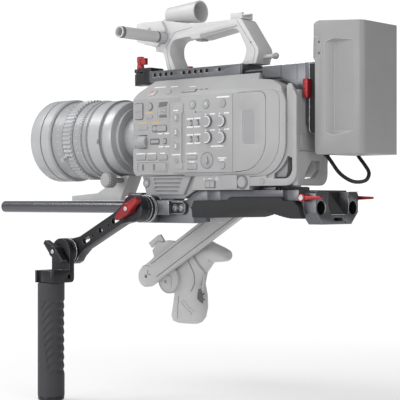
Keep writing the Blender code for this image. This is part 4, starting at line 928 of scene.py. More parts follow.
def panel_controls():
    """Buttons, switches and their gaps on the raised side panel."""
    caps, gaps = bmesh.new(), bmesh.new()
    for y, z, radius in ((-167.2, 119.2, 5.0), (-146.2, 118.8, 5.0), (-121.0, 118.5, 4.6), (-121.5, 47.8, 4.0)):
        round_button(caps, (y, z), radius, PANEL_X)
        ring_groove(gaps, (y, z), radius + 0.1, PANEL_X)
    for low, high in (((-175.2, 56.0), (-159.9, 59.8)), ((-175.7, 44.4), (-159.9, 50.7))):
        slab(caps, "X", oblong(low[0], high[0], low[1], high[1], 1.2), PANEL_X - 0.2, PANEL_X + 0.7)
        slab(gaps, "X", oblong(low[0] - 0.5, high[0] + 0.5, low[1] - 0.5, high[1] + 0.5, 1.6), PANEL_X - 0.2, PANEL_X + 0.05)
    for y in (-168.8, -158.3):
        for z in (98.2, 79.2):
            slab(gaps, "X", oblong(y - 1.9, y + 1.9, z - 3.6, z + 3.6, 0.8), PANEL_X - 0.2, PANEL_X + 0.06, 0.0)
            slab(caps, "X", oblong(y - 1.3, y + 1.3, z - 2.8, z + 0.6, 0.5), PANEL_X, PANEL_X + 1.3)
    slab(gaps, "X", oblong(-163.0, -160.8, 109.2, 111.6, 0.5), PANEL_X - 0.2, PANEL_X + 0.06, 0.0)
    slab(caps, "X", oblong(-160.0, -151.6, 109.2, 111.6, 0.5), PANEL_X - 0.2, PANEL_X + 0.12, 0.0)
    turned(gaps, "X", (-144.6, 54.0), [(8.9, PANEL_X - 0.2), (9.5, PANEL_X - 0.2), (9.5, PANEL_X + 0.25), (8.9, PANEL_X + 0.25)], 48, ring=True)
    piece("panel_button_caps", caps, "button", "rig_frame")
    piece("panel_button_gaps", gaps, "recess", "rig_frame")
    shape = bmesh.new()
    stroke(shape, "X", [(-163.0, 65.9), (-126.0, 67.0), (-121.4, 67.7)], PANEL_X, 0.3)
    stroke(shape, "X", [(-163.0, 65.4), (-163.0, 66.4)], PANEL_X, 0.3)
    piece("panel_ridge", shape, "shell", "rig_frame")


def assign_strip():
    """The raised strip under the three numbered buttons, with a soft wavy rear edge."""
    shape = bmesh.new()
    front, rear = -198.8, -182.5
    outline = [(front, 112.5, 2.0)]
    outline += [(front, 48.6, 2.0), (-190.0, 45.2, 2.5), (rear + 1.0, 44.2, 2.0), (rear + 1.0, 50.0, 1.5)]
    outline += [(rear - 0.8, 53.0, 1.5), (rear - 0.8, 109.5, 2.0), (rear + 1.4, 112.0, 1.5), (rear + 1.4, 121.5, 1.5)]
    outline += [(-190.0, 121.8, 3.0)]
    slab(shape, "X", rounded(outline[::-1], 4), PANEL_X - 0.2, PANEL_X + 0.9, 0.6)
    for z in (105.0, 88.0, 71.5):
        turned(shape, "X", (-192.1, z), [(4.6, PANEL_X), (6.3, PANEL_X), (6.0, PANEL_X + 1.5), (4.8, PANEL_X + 1.3)], 48, ring=True)
    strip = piece("assign_button_strip", shape, "shell", "rig_frame")
    bpy.context.view_layer.update()
    shape = bmesh.new()
    for z in (105.0, 88.0, 71.5):
        ring_groove(shape, (-192.1, z), 6.35, PANEL_X + 0.9)
        turned(shape, "X", (-192.1, z), [(0.0, PANEL_X + 0.95), (4.55, PANEL_X + 0.95), (4.55, PANEL_X + 0.85), (0.0, PANEL_X + 0.85)], 32)
    round_button(shape, (-191.4, 54.8), 3.0, PANEL_X + 0.7, 0.9)
    ring_groove(shape, (-191.4, 54.8), 3.2, PANEL_X + 0.95)
    # Painted shadow: a dark sheet along the strip's rear edge.
    block(shape, (PANEL_X - 0.3, -182.0, 52.0), (PANEL_X + 0.08, -178.6, 112.0), 0.4)
    piece("assign_button_rims_and_shade", shape, "dark_shell", "rig_frame")
    for index, z in enumerate((105.0, 88.0, 71.5)):
        shape = bmesh.new()
        turned(shape, "X", (-192.1, z), [(0.0, 54.9), (3.6, 54.9), (4.1, 54.4), (4.1, 53.9), (0.0, 53.9)], 40)
        cap = piece(f"assign_cap_{index + 1}", shape, "button", f"assign_button_{index + 1}_body")
        shape = bmesh.new()
        digit(shape, str(index + 1), (-192.1, z), 6.2, 54.88)
        piece(f"assign_digit_{index + 1}", shape, "ink", f"assign_button_{index + 1}_body")
    return strip


def dial_details():
    """Dotted scales, knurls and pointers of the four level dials, and the joystick's ring."""
    for index, (y, z) in enumerate(((-144.0, 98.7), (-123.2, 98.3), (-144.0, 80.2), (-123.2, 79.8))):
        body = f"audio_dial_{index + 1}_body"
        shape = bmesh.new()
        for step in range(13):
            angle = math.radians(100 - 210 * step / 12)
            spot = (y + 5.75 * math.cos(angle), z + 5.75 * math.sin(angle))
            turned(shape, "X", spot, [(0.0, 56.1), (0.58, 56.1), (0.58, 55.9), (0.0, 55.9)], 10)
        piece(f"audio_dial_{index + 1}_dots", shape, "ink", body)
        shape = bmesh.new()
        turned(shape, "X", (y, z), [(6.5, 53.4), (6.85, 53.4), (6.85, 55.2), (6.5, 55.4)], 144, knurl(48, 0.22), ring=True)
        piece(f"audio_dial_{index + 1}_knurl", shape, "recess", body)
    y, z = -144.6, 54.0
    shape = bmesh.new()
    turned(shape, "X", (y, z), [(4.9, 53.2), (5.3, 53.6), (5.7, 53.2)], 48, ring=True)
    slab(shape, "X", oblong(y - 2.6, y + 2.6, z - 4.2, z + 4.2, 2.4), 54.6, 55.9, 0.5)
    piece("joystick_cap", shape, "button", "joystick_body")
    shape = bmesh.new()
    for step in range(28):
        angle = 2 * math.pi * step / 28
        if abs(math.cos(angle)) > 0.96:
            continue
        stroke(
            shape, "X",
            [(y + 6.2 * math.cos(angle), z + 6.2 * math.sin(angle)), (y + 8.3 * math.cos(angle), z + 8.3 * math.sin(angle))],
            53.15, 0.2, sides=6,
        )
    piece("joystick_ring_ribs", shape, "recess", "joystick_body")


def side_prints():
    """White and orange printed bars and dots beside the controls."""
    white, orange = bmesh.new(), bmesh.new()
    for start, end, z, height, x in (
        (-129.6, -111.0, 125.6, 2.3, PANEL_X),
        (-175.4, -165.2, 102.8, 2.2, PANEL_X),
        (-163.8, -154.2, 103.0, 2.2, PANEL_X),
        (-175.4, -165.2, 93.1, 2.2, PANEL_X),
        (-163.8, -155.0, 93.3, 2.2, PANEL_X),
        (-175.4, -165.2, 84.2, 2.2, PANEL_X),
        (-163.8, -154.2, 84.4, 2.2, PANEL_X),
        (-175.4, -165.2, 74.2, 2.2, PANEL_X),
        (-163.8, -155.0, 74.4, 2.2, PANEL_X),
        (-139.8, -132.4, 107.0, 2.0, PANEL_X),
        (-118.6, -111.0, 107.2, 2.0, PANEL_X),
        (-139.8, -132.4, 88.6, 2.0, PANEL_X),
        (-118.6, -111.0, 88.8, 2.0, PANEL_X),
        (-138.4, -119.0, 70.0, 2.1, PANEL_X),
        (-176.0, -160.0, 62.6, 2.0, PANEL_X),
        (-172.0, -163.6, 52.8, 2.0, PANEL_X),
        (-128.0, -115.6, 56.4, 1.9, PANEL_X),
        (-125.6, -118.0, 54.0, 1.9, PANEL_X),
        (-195.8, -188.0, 113.4, 1.8, PANEL_X + 0.9),
        (-198.0, -185.0, 61.6, 1.8, PANEL_X + 0.9),
        (-259.8, -245.4, 64.2, 1.9, BODY_X),
        (-241.8, -228.4, 64.0, 1.9, BODY_X),
        (-220.6, -213.0, 64.0, 1.9, BODY_X),
        (-224.6, -216.4, 87.4, 2.0, BODY_X),
        (-213.8, -206.6, 87.4, 2.0, BODY_X),
        (-223.2, -215.0, 71.9, 2.0, BODY_X),
        (-212.6, -205.8, 71.9, 2.0, BODY_X),
    ):
        caption(white, start, end, height, z, x)
    for y in (-146.5, -125.7):
        for z in (107.0, 88.6):
            turned(white, "X", (y, z), [(0.0, PANEL_X + 0.08), (0.8, PANEL_X + 0.08), (0.8, PANEL_X - 0.1), (0.0, PANEL_X - 0.1)], 16)
    for start, end, z in ((-245.2, -233.2, 112.6), (-255.6, -243.2, 101.0), (-233.8, -222.9, 100.4)):
        caption(orange, start, end, 2.4, z, BODY_X)
    digit(white, "7", (-167.2, 119.2), 4.6, PANEL_X + 0.72)
    digit(white, "8", (-146.2, 118.8), 4.6, PANEL_X + 0.72)
    piece("panel_prints", white, "ink", "rig_frame")
    piece("panel_orange_prints", orange, "orange_ink", "rig_frame")


def front_controls():
    """The rocker, wheel recess, slots, buttons and covered switch ahead of the panel."""
    caps, gaps, rims = bmesh.new(), bmesh.new(), bmesh.new()
    slab(gaps, "X", oblong(-262.6, -248.4, 105.0, 125.4, 2.2), BODY_X - 0.2, BODY_X + 0.08, 0.0)
    slab(caps, "X", oblong(-261.6, -249.4, 106.0, 124.4, 1.8), BODY_X - 0.2, BODY_X + 1.1, 0.5)
    stroke(gaps, "X", [(-261.0, 114.6), (-250.0, 114.6)], BODY_X + 1.05, 0.25)
    turned(gaps, "X", (-237.7, 120.2), [(0.0, BODY_X + 0.1), (5.0, BODY_X + 0.1), (5.0, BODY_X - 0.2), (0.0, BODY_X - 0.2)], 40)
    turned(caps, "X", (-237.7, 120.2), [(0.0, BODY_X + 1.5), (3.6, BODY_X + 1.5), (3.9, BODY_X + 1.2), (3.9, BODY_X), (0.0, BODY_X)], 96, knurl(24, 0.2))
    slab(caps, "X", oblong(-244.8, -233.4, 106.2, 110.2, 1.4), BODY_X - 0.2, BODY_X + 0.7, 0.3)
    slab(caps, "X", oblong(-257.1, -241.8, 92.8, 98.1, 1.8), BODY_X - 0.2, BODY_X + 0.7, 0.3)
    for low, high in (((-260.2, 56.8), (-244.5, 62.6)), ((-242.2, 56.5), (-226.5, 62.4)), ((-224.2, 56.2), (-209.2, 62.0))):
        slab(gaps, "X", oblong(low[0] - 0.4, high[0] + 0.4, low[1] - 0.4, high[1] + 0.4, 2.0), BODY_X - 0.2, BODY_X + 0.06, 0.0)
        slab(caps, "X", oblong(low[0], high[0], low[1], high[1], 1.7), BODY_X - 0.2, BODY_X + 0.8, 0.35)
    slab(gaps, "X", oblong(-234.2, -210.0, 89.2, 97.7, 2.4), BODY_X - 0.2, BODY_X + 0.1, 0.0)
    slab(caps, "X", oblong(-226.4, -210.8, 90.2, 96.8, 1.8), BODY_X, BODY_X + 1.1, 0.4)
    turned(caps, "X", (-230.2, 93.4), [(0.0, BODY_X + 1.0), (2.6, BODY_X + 1.0), (3.2, BODY_X + 0.6), (3.2, BODY_X), (0.0, BODY_X)], 32)
    for y0, y1 in ((-237.6, -221.5), (-216.1, -210.0)):
        slab(gaps, "X", oblong(y0, y1, 74.4, 81.8, 1.6), BODY_X - 0.2, BODY_X + 0.08, 0.0)
    slab(caps, "X", oblong(-235.8, -223.3, 76.4, 79.8, 1.2), BODY_X, BODY_X + 0.7, 0.3)
    slab(caps, "X", oblong(-215.0, -211.2, 75.6, 80.6, 0.8), BODY_X, BODY_X + 0.9, 0.3)
    stroke(rims, "X", oblong(-258.8, -209.0, 40.3, 54.6, 4.6), BODY_X, 0.75, True, 10)
    slab(caps, "X", oblong(-234.0, -211.2, 42.4, 52.8, 1.6), BODY_X - 0.2, BODY_X + 0.8, 0.4)
    piece("front_switch_caps", caps, "button", "rig_frame")
    piece("front_switch_gaps", gaps, "recess", "rig_frame")
    piece("front_switch_rims", rims, "shell", "rig_frame")
    shape = bmesh.new()
    for y0, y1, z0, z1, x in ((-250.6, -247.6, 44.0, 51.6, BODY_X), (-231.6, -228.8, 43.8, 51.6, BODY_X + 0.8)):
        slab(shape, "X", oblong(y0, y1, z0, z1, 1.0), x - 0.1, x + 0.08, 0.0)
    slab(shape, "X", rounded([(-223.8, 118.6), (-221.8, 124.6), (-208.4, 124.6), (-210.6, 119.6)]), BODY_X - 0.2, BODY_X + 0.1, 0.0)
    slab(shape, "X", rounded([(-222.6, 106.2), (-222.2, 109.6), (-211.0, 109.6), (-209.6, 106.2)]), BODY_X - 0.2, BODY_X + 0.1, 0.0)
    piece("front_dark_slots", shape, "recess", "rig_frame")
    shape = bmesh.new()
    stroke(shape, "X", rounded([(-226.0, 105.2, 1.5), (-206.6, 105.2, 1.5), (-206.6, 125.4, 1.5), (-224.6, 125.4, 1.5)]), BODY_X, 0.5, True, 8)
    for step in range(5):
        z = 111.0 + 1.7 * step
        stroke(shape, "X", [(-221.6, z), (-211.4, z)], BODY_X + 0.15, 0.55)
    piece("thumb_wheel", shape, "shell", "rig_frame")


def lower_controls():
    """The row of switches, the block and the knobs below the side panel."""
    caps, gaps = bmesh.new(), bmesh.new()
    round_button(caps, (-248.0, 29.0), 4.4, 45.0, 0.9)
    ring_groove(gaps, (-248.0, 29.0), 5.0, 45.0, 0.8)
    slab(gaps, "X", oblong(-150.2, -134.0, 22.2, 30.9, 0.8), BODY_X - 0.2, BODY_X + 0.06, 0.0)
    slab(caps, "X", oblong(-148.6, -135.6, 23.2, 29.9, 0.6), BODY_X, BODY_X + 1.2, 0.4)
    stroke(gaps, "X", [(-142.0, 23.4), (-142.0, 29.6)], BODY_X + 1.2, 0.25)
    slab(caps, "X", oblong(-122.6, -101.0, 21.4, 36.8, 1.2), BODY_X - 0.2, BODY_X + 2.0, 0.7)
    turned(caps, "X", (-94.6, 28.6), [(0.0, BODY_X + 2.6), (5.4, BODY_X + 2.4), (6.6, BODY_X + 0.8), (6.8, BODY_X - 0.2), (0.0, BODY_X - 0.2)], 48)
    turned(gaps, "X", (-94.6, 28.6), [(6.9, BODY_X - 0.2), (8.2, BODY_X - 0.2), (8.2, BODY_X + 0.1), (6.9, BODY_X + 0.1)], 48, ring=True)
    turned(caps, "X", (-66.0, 29.2), [(0.0, BODY_X + 0.5), (2.6, BODY_X + 0.5), (2.9, BODY_X + 0.2), (2.9, BODY_X - 0.2), (0.0, BODY_X - 0.2)], 36)
    ring_groove(gaps, (-66.0, 29.2), 3.0, BODY_X)
    piece("lower_switch_caps", caps, "button", "rig_frame")
    piece("lower_switch_gaps", gaps, "recess", "rig_frame")
    shape = bmesh.new()
    caption(shape, -145.4, -139.6, 0.9, 33.4, BODY_X)
    turned(shape, "X", (-132.2, 33.2), [(1.3, BODY_X - 0.1), (1.7, BODY_X - 0.1), (1.7, BODY_X + 0.06), (1.3, BODY_X + 0.06)], 24, ring=True)
    block(shape, (BODY_X, -151.6, 31.6), (BODY_X + 0.06, -151.0, 34.4), 0.0)
    digit(shape, "4", (-248.0, 29.0), 4.0, 45.68)
    piece("lower_prints", shape, "ink", "rig_frame")


def cheek():
    """The sloped border round the door: two soft bands between the door's edge and the casing's rear edge."""
    shape = bmesh.new()
    start_y = -181.0

    def band(rear_y, top_z, corner, centre, radii, bottom_z, x):
        path = [(-104.0, top_z)]
        path += arc((rear_y - corner, top_z - corner), (corner, corner), 90, 0, 8)
        path += arc(centre, radii, 0, -80, 14)
        path += [(-100.0, bottom_z), (start_y, bottom_z)]
        return [(x, y, z) for y, z in path]

    rings = [
        band(-58.3, 129.1, 9.0, (-91.6, 76.0), (33.3, 35.0), 39.6, PANEL_X - 0.05),
        band(-57.3, 129.6, 10.0, (-91.6, 76.0), (34.3, 36.0), 38.9, PANEL_X - 0.35),
        band(-43.5, 129.9, 10.5, (-83.0, 75.2), (39.5, 37.8), 37.2, BODY_X + 1.05),
        band(-41.5, 130.0, 11.0, (-82.0, 75.0), (40.5, 38.4), 36.9, BODY_X + 0.55),
        band(-35.6, 130.2, 11.5, (-72.5, 73.4), (36.9, 38.4), 36.4, BODY_X + 0.35),
        band(-34.4, 130.3, 12.0, (-70.5, 72.9), (36.1, 38.2), 36.0, BODY_X - 0.2),
        band(-58.3, 129.1, 9.0, (-91.6, 76.0), (33.3, 35.0), 39.6, BODY_X - 0.2),
    ]
    rows = [[shape.verts.new(point) for point in ring] for ring in rings]
    for first, second in zip(rows, rows[1:] + rows[:1]):
        for index in range(len(first) - 1):
            shape.faces.new((first[index], first[index + 1], second[index + 1], second[index]))
    shape.faces.new([row[0] for row in rows])
    shape.faces.new([row[-1] for row in rows][::-1])
    bmesh.ops.recalc_face_normals(shape, faces=shape.faces)
    piece("side_cheek", shape, "shell", "rig_frame", soft_angle=40)
    shape = bmesh.new()
    path = arc((-52.5, 119.0), (11.0, 11.0), 90, 0, 8) + arc((-82.0, 75.0), (40.5, 38.4), 0, -80, 14)
    stroke(shape, "X", [(-100.0, 130.0)] + path + [(-100.0, 36.9)], BODY_X + 0.62, 0.22)
    piece("cheek_seam", shape, "recess", "rig_frame")


def door_details():
    """The door's window and its seam."""
    shape = bmesh.new()
    window = rounded([(-90.6, 71.6, 3.0), (-73.9, 71.6, 3.0), (-73.9, 107.4, 6.5), (-90.6, 107.4, 3.0)])
    slab(shape, "X", window, 52.35, 52.6, 0.0)
    piece("door_window", shape, "dark_shell", "door_body")
    shape = bmesh.new()
    stroke(shape, "X", [(DOOR_LOW.y - 0.15, 40.6), (DOOR_LOW.y - 0.15, 128.4)], PANEL_X - 0.15, 0.28)
    piece("door_seam", shape, "recess", "rig_frame")


def shoulder_controls():
    """Buttons and slots on the casing's sloped shoulder, drawn upright and then leaned back on to it."""
    foot = Vector((50.0, 0.0, 130.0))
    lean = math.atan2(21.0, 27.3)
    turn = Matrix.Translation(foot) @ Matrix.Rotation(-lean, 4, "Y") @ Matrix.Translation(-foot)
    caps, gaps, white, red = bmesh.new(), bmesh.new(), bmesh.new(), bmesh.new()
    slab(caps, "X", rounded([(-246.5, 134.0, 3.0), (-233.6, 134.0, 3.0), (-230.6, 142.6, 2.5), (-242.6, 142.6, 2.5)]), 49.8, 50.7, 0.4)
    turned(caps, "X", (-211.0, 138.0), [(0.0, 50.8), (2.8, 50.8), (3.1, 50.5), (3.1, 49.8), (0.0, 49.8)], 32)
    ring_groove(gaps, (-211.0, 138.0), 3.2, 50.0)
    slab(gaps, "X", rounded([(-191.0, 135.4, 0.8), (-167.2, 135.4, 0.8), (-166.0, 140.4, 0.8), (-187.0, 140.4, 0.8)]), 49.8, 50.08, 0.0)
    slab(caps, "X", rounded([(-188.6, 136.2, 0.6), (-170.0, 136.2, 0.6), (-169.0, 139.6, 0.6), (-186.0, 139.6, 0.6)]), 49.9, 50.7, 0.3)
    for y in (-160.6, -152.6):
        slab(gaps, "X", oblong(y - 2.6, y + 2.6, 138.0, 139.4, 0.5), 49.8, 50.08, 0.0)
    caption(white, -240.0, -221.6, 1.6, 147.2, 50.0)
    caption(white, -212.4, -201.8, 1.8, 146.4, 50.0)
    caption(white, -181.6, -172.4, 1.2, 144.4, 50.0)
    block(red, (50.7, -242.4, 139.0), (50.78, -236.4, 140.6), 0.0)
    for name, shape, key in (
        ("shoulder_button_caps", caps, "button"),
        ("shoulder_button_gaps", gaps, "recess"),
        ("shoulder_prints", white, "ink"),
        ("shoulder_red_mark", red, "red_ink"),
    ):
        piece(name, shape, key, "rig_frame", turn)


def right_side():
    """The camera's right side and back: covers, vents, sockets and screws."""
    x = BODY_LOW.x
    shell, gaps, steel = bmesh.new(), bmesh.new(), bmesh.new()
    slab(shell, "X", oblong(-232.0, -150.0, 62.0, 122.0, 6.0), x + 0.3, x - 2.4, 0.9)
    slab(shell, "X", oblong(-140.0, -70.0, 70.0, 122.0, 5.0), x + 0.3, x - 1.8, 0.8)
    for step in range(9):
        z = 68.0 + 5.4 * step
        stroke(gaps, "X", [(-222.0, z), (-162.0, z)], x - 2.4, 0.7)
    for step in range(5):
        y = -128.0 + 11.5 * step
        slab(gaps, "X", oblong(y - 3.6, y + 3.6, 78.0, 112.0, 2.0), x - 1.5, x - 2.0, 0.0)
    for y, z in ((-228.0, 118.0), (-154.0, 118.0), (-228.0, 66.0), (-154.0, 66.0)):
        screw_head(steel, "X", (y, z), 1.6, x - 2.2, x - 2.8)
    for y in (-120.0, -100.0):
        turned(shell, "X", (y, 46.0), [(3.4, x + 0.2), (6.2, x + 0.2), (6.2, x - 2.6), (5.2, x - 3.2), (3.4, x - 3.2)], 40, ring=True)
        turned(gaps, "X", (y, 46.0), [(0.0, x - 0.6), (3.5, x - 0.6), (3.5, x + 0.2), (0.0, x + 0.2)], 32)
    piece("right_covers", shell, "shell", "rig_frame")
    piece("right_vents", gaps, "recess", "rig_frame")
    piece("right_screws", steel, "steel", "rig_frame")


def rear_details():
    """Connectors, card doors and seams on the camera's back."""
    low, high = node_box("rear_module")
    y = high.y
    shell, gaps, steel = bmesh.new(), bmesh.new(), bmesh.new()
    slab(shell, "Y", oblong(-28.0, -2.0, 96.0, 124.0, 2.0), y - 0.2, y + 0.8, 0.3)
    slab(shell, "Y", oblong(30.5, 42.0, 66.0, 80.0, 2.0), y - 0.2, y + 0.5, 0.2)
    for x in (-24.0, -10.0):
        for z in (72.0, 86.0):
            turned(steel, "Y", (x, z), [(2.9, y - 0.2), (4.6, y - 0.2), (4.6, y + 1.6), (4.2, y + 2.0), (2.9, y + 2.0)], 32, ring=True)
            turned(gaps, "Y", (x, z), [(0.0, y + 0.3), (3.0, y + 0.3), (3.0, y - 0.2), (0.0, y - 0.2)], 24)
    for x in (-27.0, -3.0):
        for z in (99.0, 121.0):
            screw_head(steel, "Y", (x, z), 1.3, y + 0.6, y + 1.0)
    turned(gaps, "Y", (8.0, 66.5), [(2.4, y), (4.4, y), (4.4, y + 0.7), (2.4, y + 0.7)], 32, ring=True)
    piece("rear_connector_covers", shell, "shell", "rig_frame")
    piece("rear_connector_gaps", gaps, "recess", "rig_frame")
    piece("rear_connector_shells", steel, "steel", "rig_frame")


# ---------------------------------------------------------------- lens, handle, battery and cable


def lens_details():
    """Ribs, gear teeth, scales and grooves on the lens."""
    axis = (0.0, LENS_Z)
    shape = bmesh.new()
    turned(shape, "Y", axis, [(49.0, -391.0), (51.6, -390.6), (51.6, -376.4), (49.0, -376.0)], 464, teeth(58, 1.7), ring=True)
    piece("focus_ring_ribs", shape, "lens", "focus_body")
    shape = bmesh.new()
    turned(shape, "Y", axis, [(48.0, -361.8), (50.3, -361.6), (50.3, -358.9), (48.0, -358.7)], 784, teeth(98, 1.7), ring=True)
    piece("zoom_gear_teeth", shape, "lens", "zoom_body")
    shape = bmesh.new()
    turned(shape, "Y", axis, [(47.9, -327.6), (48.9, -327.4), (48.9, -325.4), (47.9, -325.2)], 96, ring=True)
    slab(shape, "X", [(-330.4, 79.0), (-326.2, 79.0), (-326.6, 83.8), (-329.0, 84.2)], 47.6, 49.4, 0.2)
    piece("iris_ring_rim", shape, "lens_groove", "iris_body")
    grooves = (
        ("focus_groove", "focus_body", -392.4, 50.02),
        ("zoom_groove", "zoom_body", -357.6, 49.02),
        ("iris_groove", "iris_body", -348.0, 48.52),
    )
    for name, body, y, radius in grooves:
        shape = bmesh.new()
        turned(shape, "Y", axis, [(radius - 0.6, y - 0.6), (radius + 0.03, y - 0.6), (radius + 0.03, y + 0.6), (radius - 0.6, y + 0.6)], 96, ring=True)
        piece(name, shape, "lens_groove", body)
    shape = bmesh.new()
    turned(shape, "Y", axis, [(52.2, -430.5), (52.6, -430.5), (52.6, -429.0), (52.2, -429.0)], 96, ring=True)
    piece("hood_groove", shape, "lens_groove", "rig_frame")
    shape = bmesh.new()
    angle = math.radians(-28)
    spot = (50.6 * math.cos(angle), LENS_Z + 50.6 * math.sin(angle))
    turned(shape, "Y", spot, [(0.0, -393.0), (2.2, -393.0), (2.2, -387.0), (0.0, -387.0)], 24)
    part = bmesh.new()
    turned(part, "X", (0.0, 0.0), [(0.0, 8.2), (2.6, 8.2), (2.9, 7.6), (1.6, 6.2), (1.6, -1.0), (0.0, -1.0)], 24)
    part.transform(Matrix.Translation((spot[0], -390.0, spot[1])) @ Matrix.Rotation(-angle, 4, "Y"))
    merge(shape, part)
    piece("focus_lever_pin", shape, "lens", "focus_body")
    shape = bmesh.new()
    for ring_index, (y, radius, body_name) in enumerate(((-401.0, 50.04, "focus"), (-368.0, 49.04, "zoom"))):
        marks = bmesh.new()
        for step in range(15):
            turn = math.radians(18 + 9 * step - 40)
            length = 3.0 if step % 5 == 0 else 1.6
            part = bmesh.new()
            block(part, (radius - 0.1, y - length / 2, -0.22), (radius + 0.03, y + length / 2, 0.22), 0.0)
            part.transform(Matrix.Translation((0.0, 0.0, LENS_Z)) @ Matrix.Rotation(-turn, 4, "Y"))
            merge(marks, part)
        piece(f"{body_name}_scale", marks, "ink", f"{body_name}_body")
    shape.free()
    shape = bmesh.new()
    turned(shape, "X", (-322.5, 33.5), [(8.2, 29.4), (9.6, 29.8), (9.6, 40.6), (8.2, 41.2)], 264, teeth(22, 1.2), ring=True)
    piece("foot_knob_knurl", shape, "shell", "foot_knob_body")
    shape = bmesh.new()
    turned(shape, "Y", (47.5, 78.2), [(7.4, -256.6), (7.62, -256.2), (7.62, -246.0), (7.4, -245.6)], 240, knurl(30, 0.25), ring=True)
    piece("filter_dial_knurl", shape, "button", "filter_dial_body")
    shape = bmesh.new()
    turned(shape, "Y", axis, [(32.3, -272.2), (32.75, -271.8), (32.75, -268.6), (32.3, -268.2)], 240, knurl(60, 0.3), ring=True)
    for step in range(3):
        y = -276.5 - 4.4 * step
        turned(shape, "Y", axis, [(28.6, y - 0.5), (29.3, y), (28.6, y + 0.5)], 96, ring=True)
    piece("lens_mount_rings", shape, "lens", "rig_frame")
    shape = bmesh.new()
    turned(shape, "Y", axis, [(39.2, -412.6), (41.8, -412.6), (41.0, -410.0), (39.2, -409.6)], 96, ring=True)
    for step in range(3):
        y, radius = -432.0 - 5.5 * step, 47.9 + 0.42 * step
        turned(shape, "Y", axis, [(radius, y), (radius + 0.6, y - 1.4), (radius + 0.6, y + 1.2)], 96, ring=True)
    piece("hood_baffles", shape, "black_and_gap_shade", "rig_frame")


def handle_details():
    """Ribs under the handle's grip, its seams, its trigger and its small screw."""
    shape = bmesh.new()
    for side in (-1, 1):
        x = side * 13.0
        for step in range(17):
            y = -190.0 + 3.4 * step
            z = 208.0 + 0.085 * (y + 190.0)
            stroke(shape, "X", [(y, z - 1.6), (y + 0.9, z), (y + 0.9, z + 1.6)], x, 0.62)
    piece("handle_grip_ribs", shape, "shell_painted_lighter", "rig_frame")
    shape = bmesh.new()
    for side in (-1, 1):
        x = side * 13.0
        underside = rounded([(-194.0, 202.2, 1.5), (-133.4, 210.6, 3.0), (-133.0, 212.0), (-189.0, 206.6, 3.0)], 3)
        slab(shape, "X", underside, x - side * 0.2, x + side * 0.3, 0.2)
    piece("handle_grip_sides", shape, "dark_shell", "rig_frame")
    gaps = bmesh.new()
    for side in (-1, 1):
        x = side * 13.0
        rear = rounded([(-134.0, 219.0), (-130.6, 214.0), (-105.4, 181.2, 8.0), (-109.6, 166.2)], 5)
        stroke(gaps, "X", rear, x, 0.22)
        front = rounded([(-238.0, 166.4), (-243.6, 185.0, 6.0), (-245.0, 196.0, 5.0), (-232.0, 212.0, 6.0), (-203.0, 216.0)], 5)
        stroke(gaps, "X", front, x, 0.22)
        turned(gaps, "X", (-112.4, 190.5), [(0.0, x + side * 0.15), (1.1, x + side * 0.15), (1.1, x - side * 0.2), (0.0, x - side * 0.2)], 20)
    piece("handle_seams", gaps, "recess", "rig_frame")
    shape = bmesh.new()
    block(shape, (-6.0, -203.5, 199.6), (6.0, -193.5, 202.4), 0.9)
    for x in (-15.5, 15.5):
        turned(shape, "X", (-270.0, 217.0), [(0.0, x + 2.4), (3.2, x + 2.4), (3.6, x + 1.6), (3.6, x - 1.6), (3.2, x - 2.4), (0.0, x - 2.4)], 36)
    turned(shape, "Y", (0.0, 174.0), [(2.9, -88.6), (3.4, -88.2), (3.4, -84.6), (2.9, -84.2)], 72, knurl(18, 0.3), ring=True)
    piece("handle_trims", shape, "button", "rig_frame")
    shape = bmesh.new()
    turned(shape, "X", (-250.0, 207.0), [(6.9, 84.0), (7.05, 84.4), (7.05, 88.6), (6.9, 89.0)], 72, ring=True)
    turned(shape, "X", (-250.0, 207.0), [(6.9, 24.0), (7.05, 24.4), (7.05, 27.6), (6.9, 28.0)], 72, ring=True)
    piece("viewfinder_rod_bands", shape, "lens_groove", "viewfinder_rod_body")
    shape = bmesh.new()
    turned(shape, "Y", (-15.0, 238.5), [(6.9, -262.5), (7.4, -262.0), (9.3, -242.0), (8.9, -241.6)], 96, knurl(24, 0.25), ring=True)
    piece("microphone_ring_ribs", shape, "shell", "rig_frame")


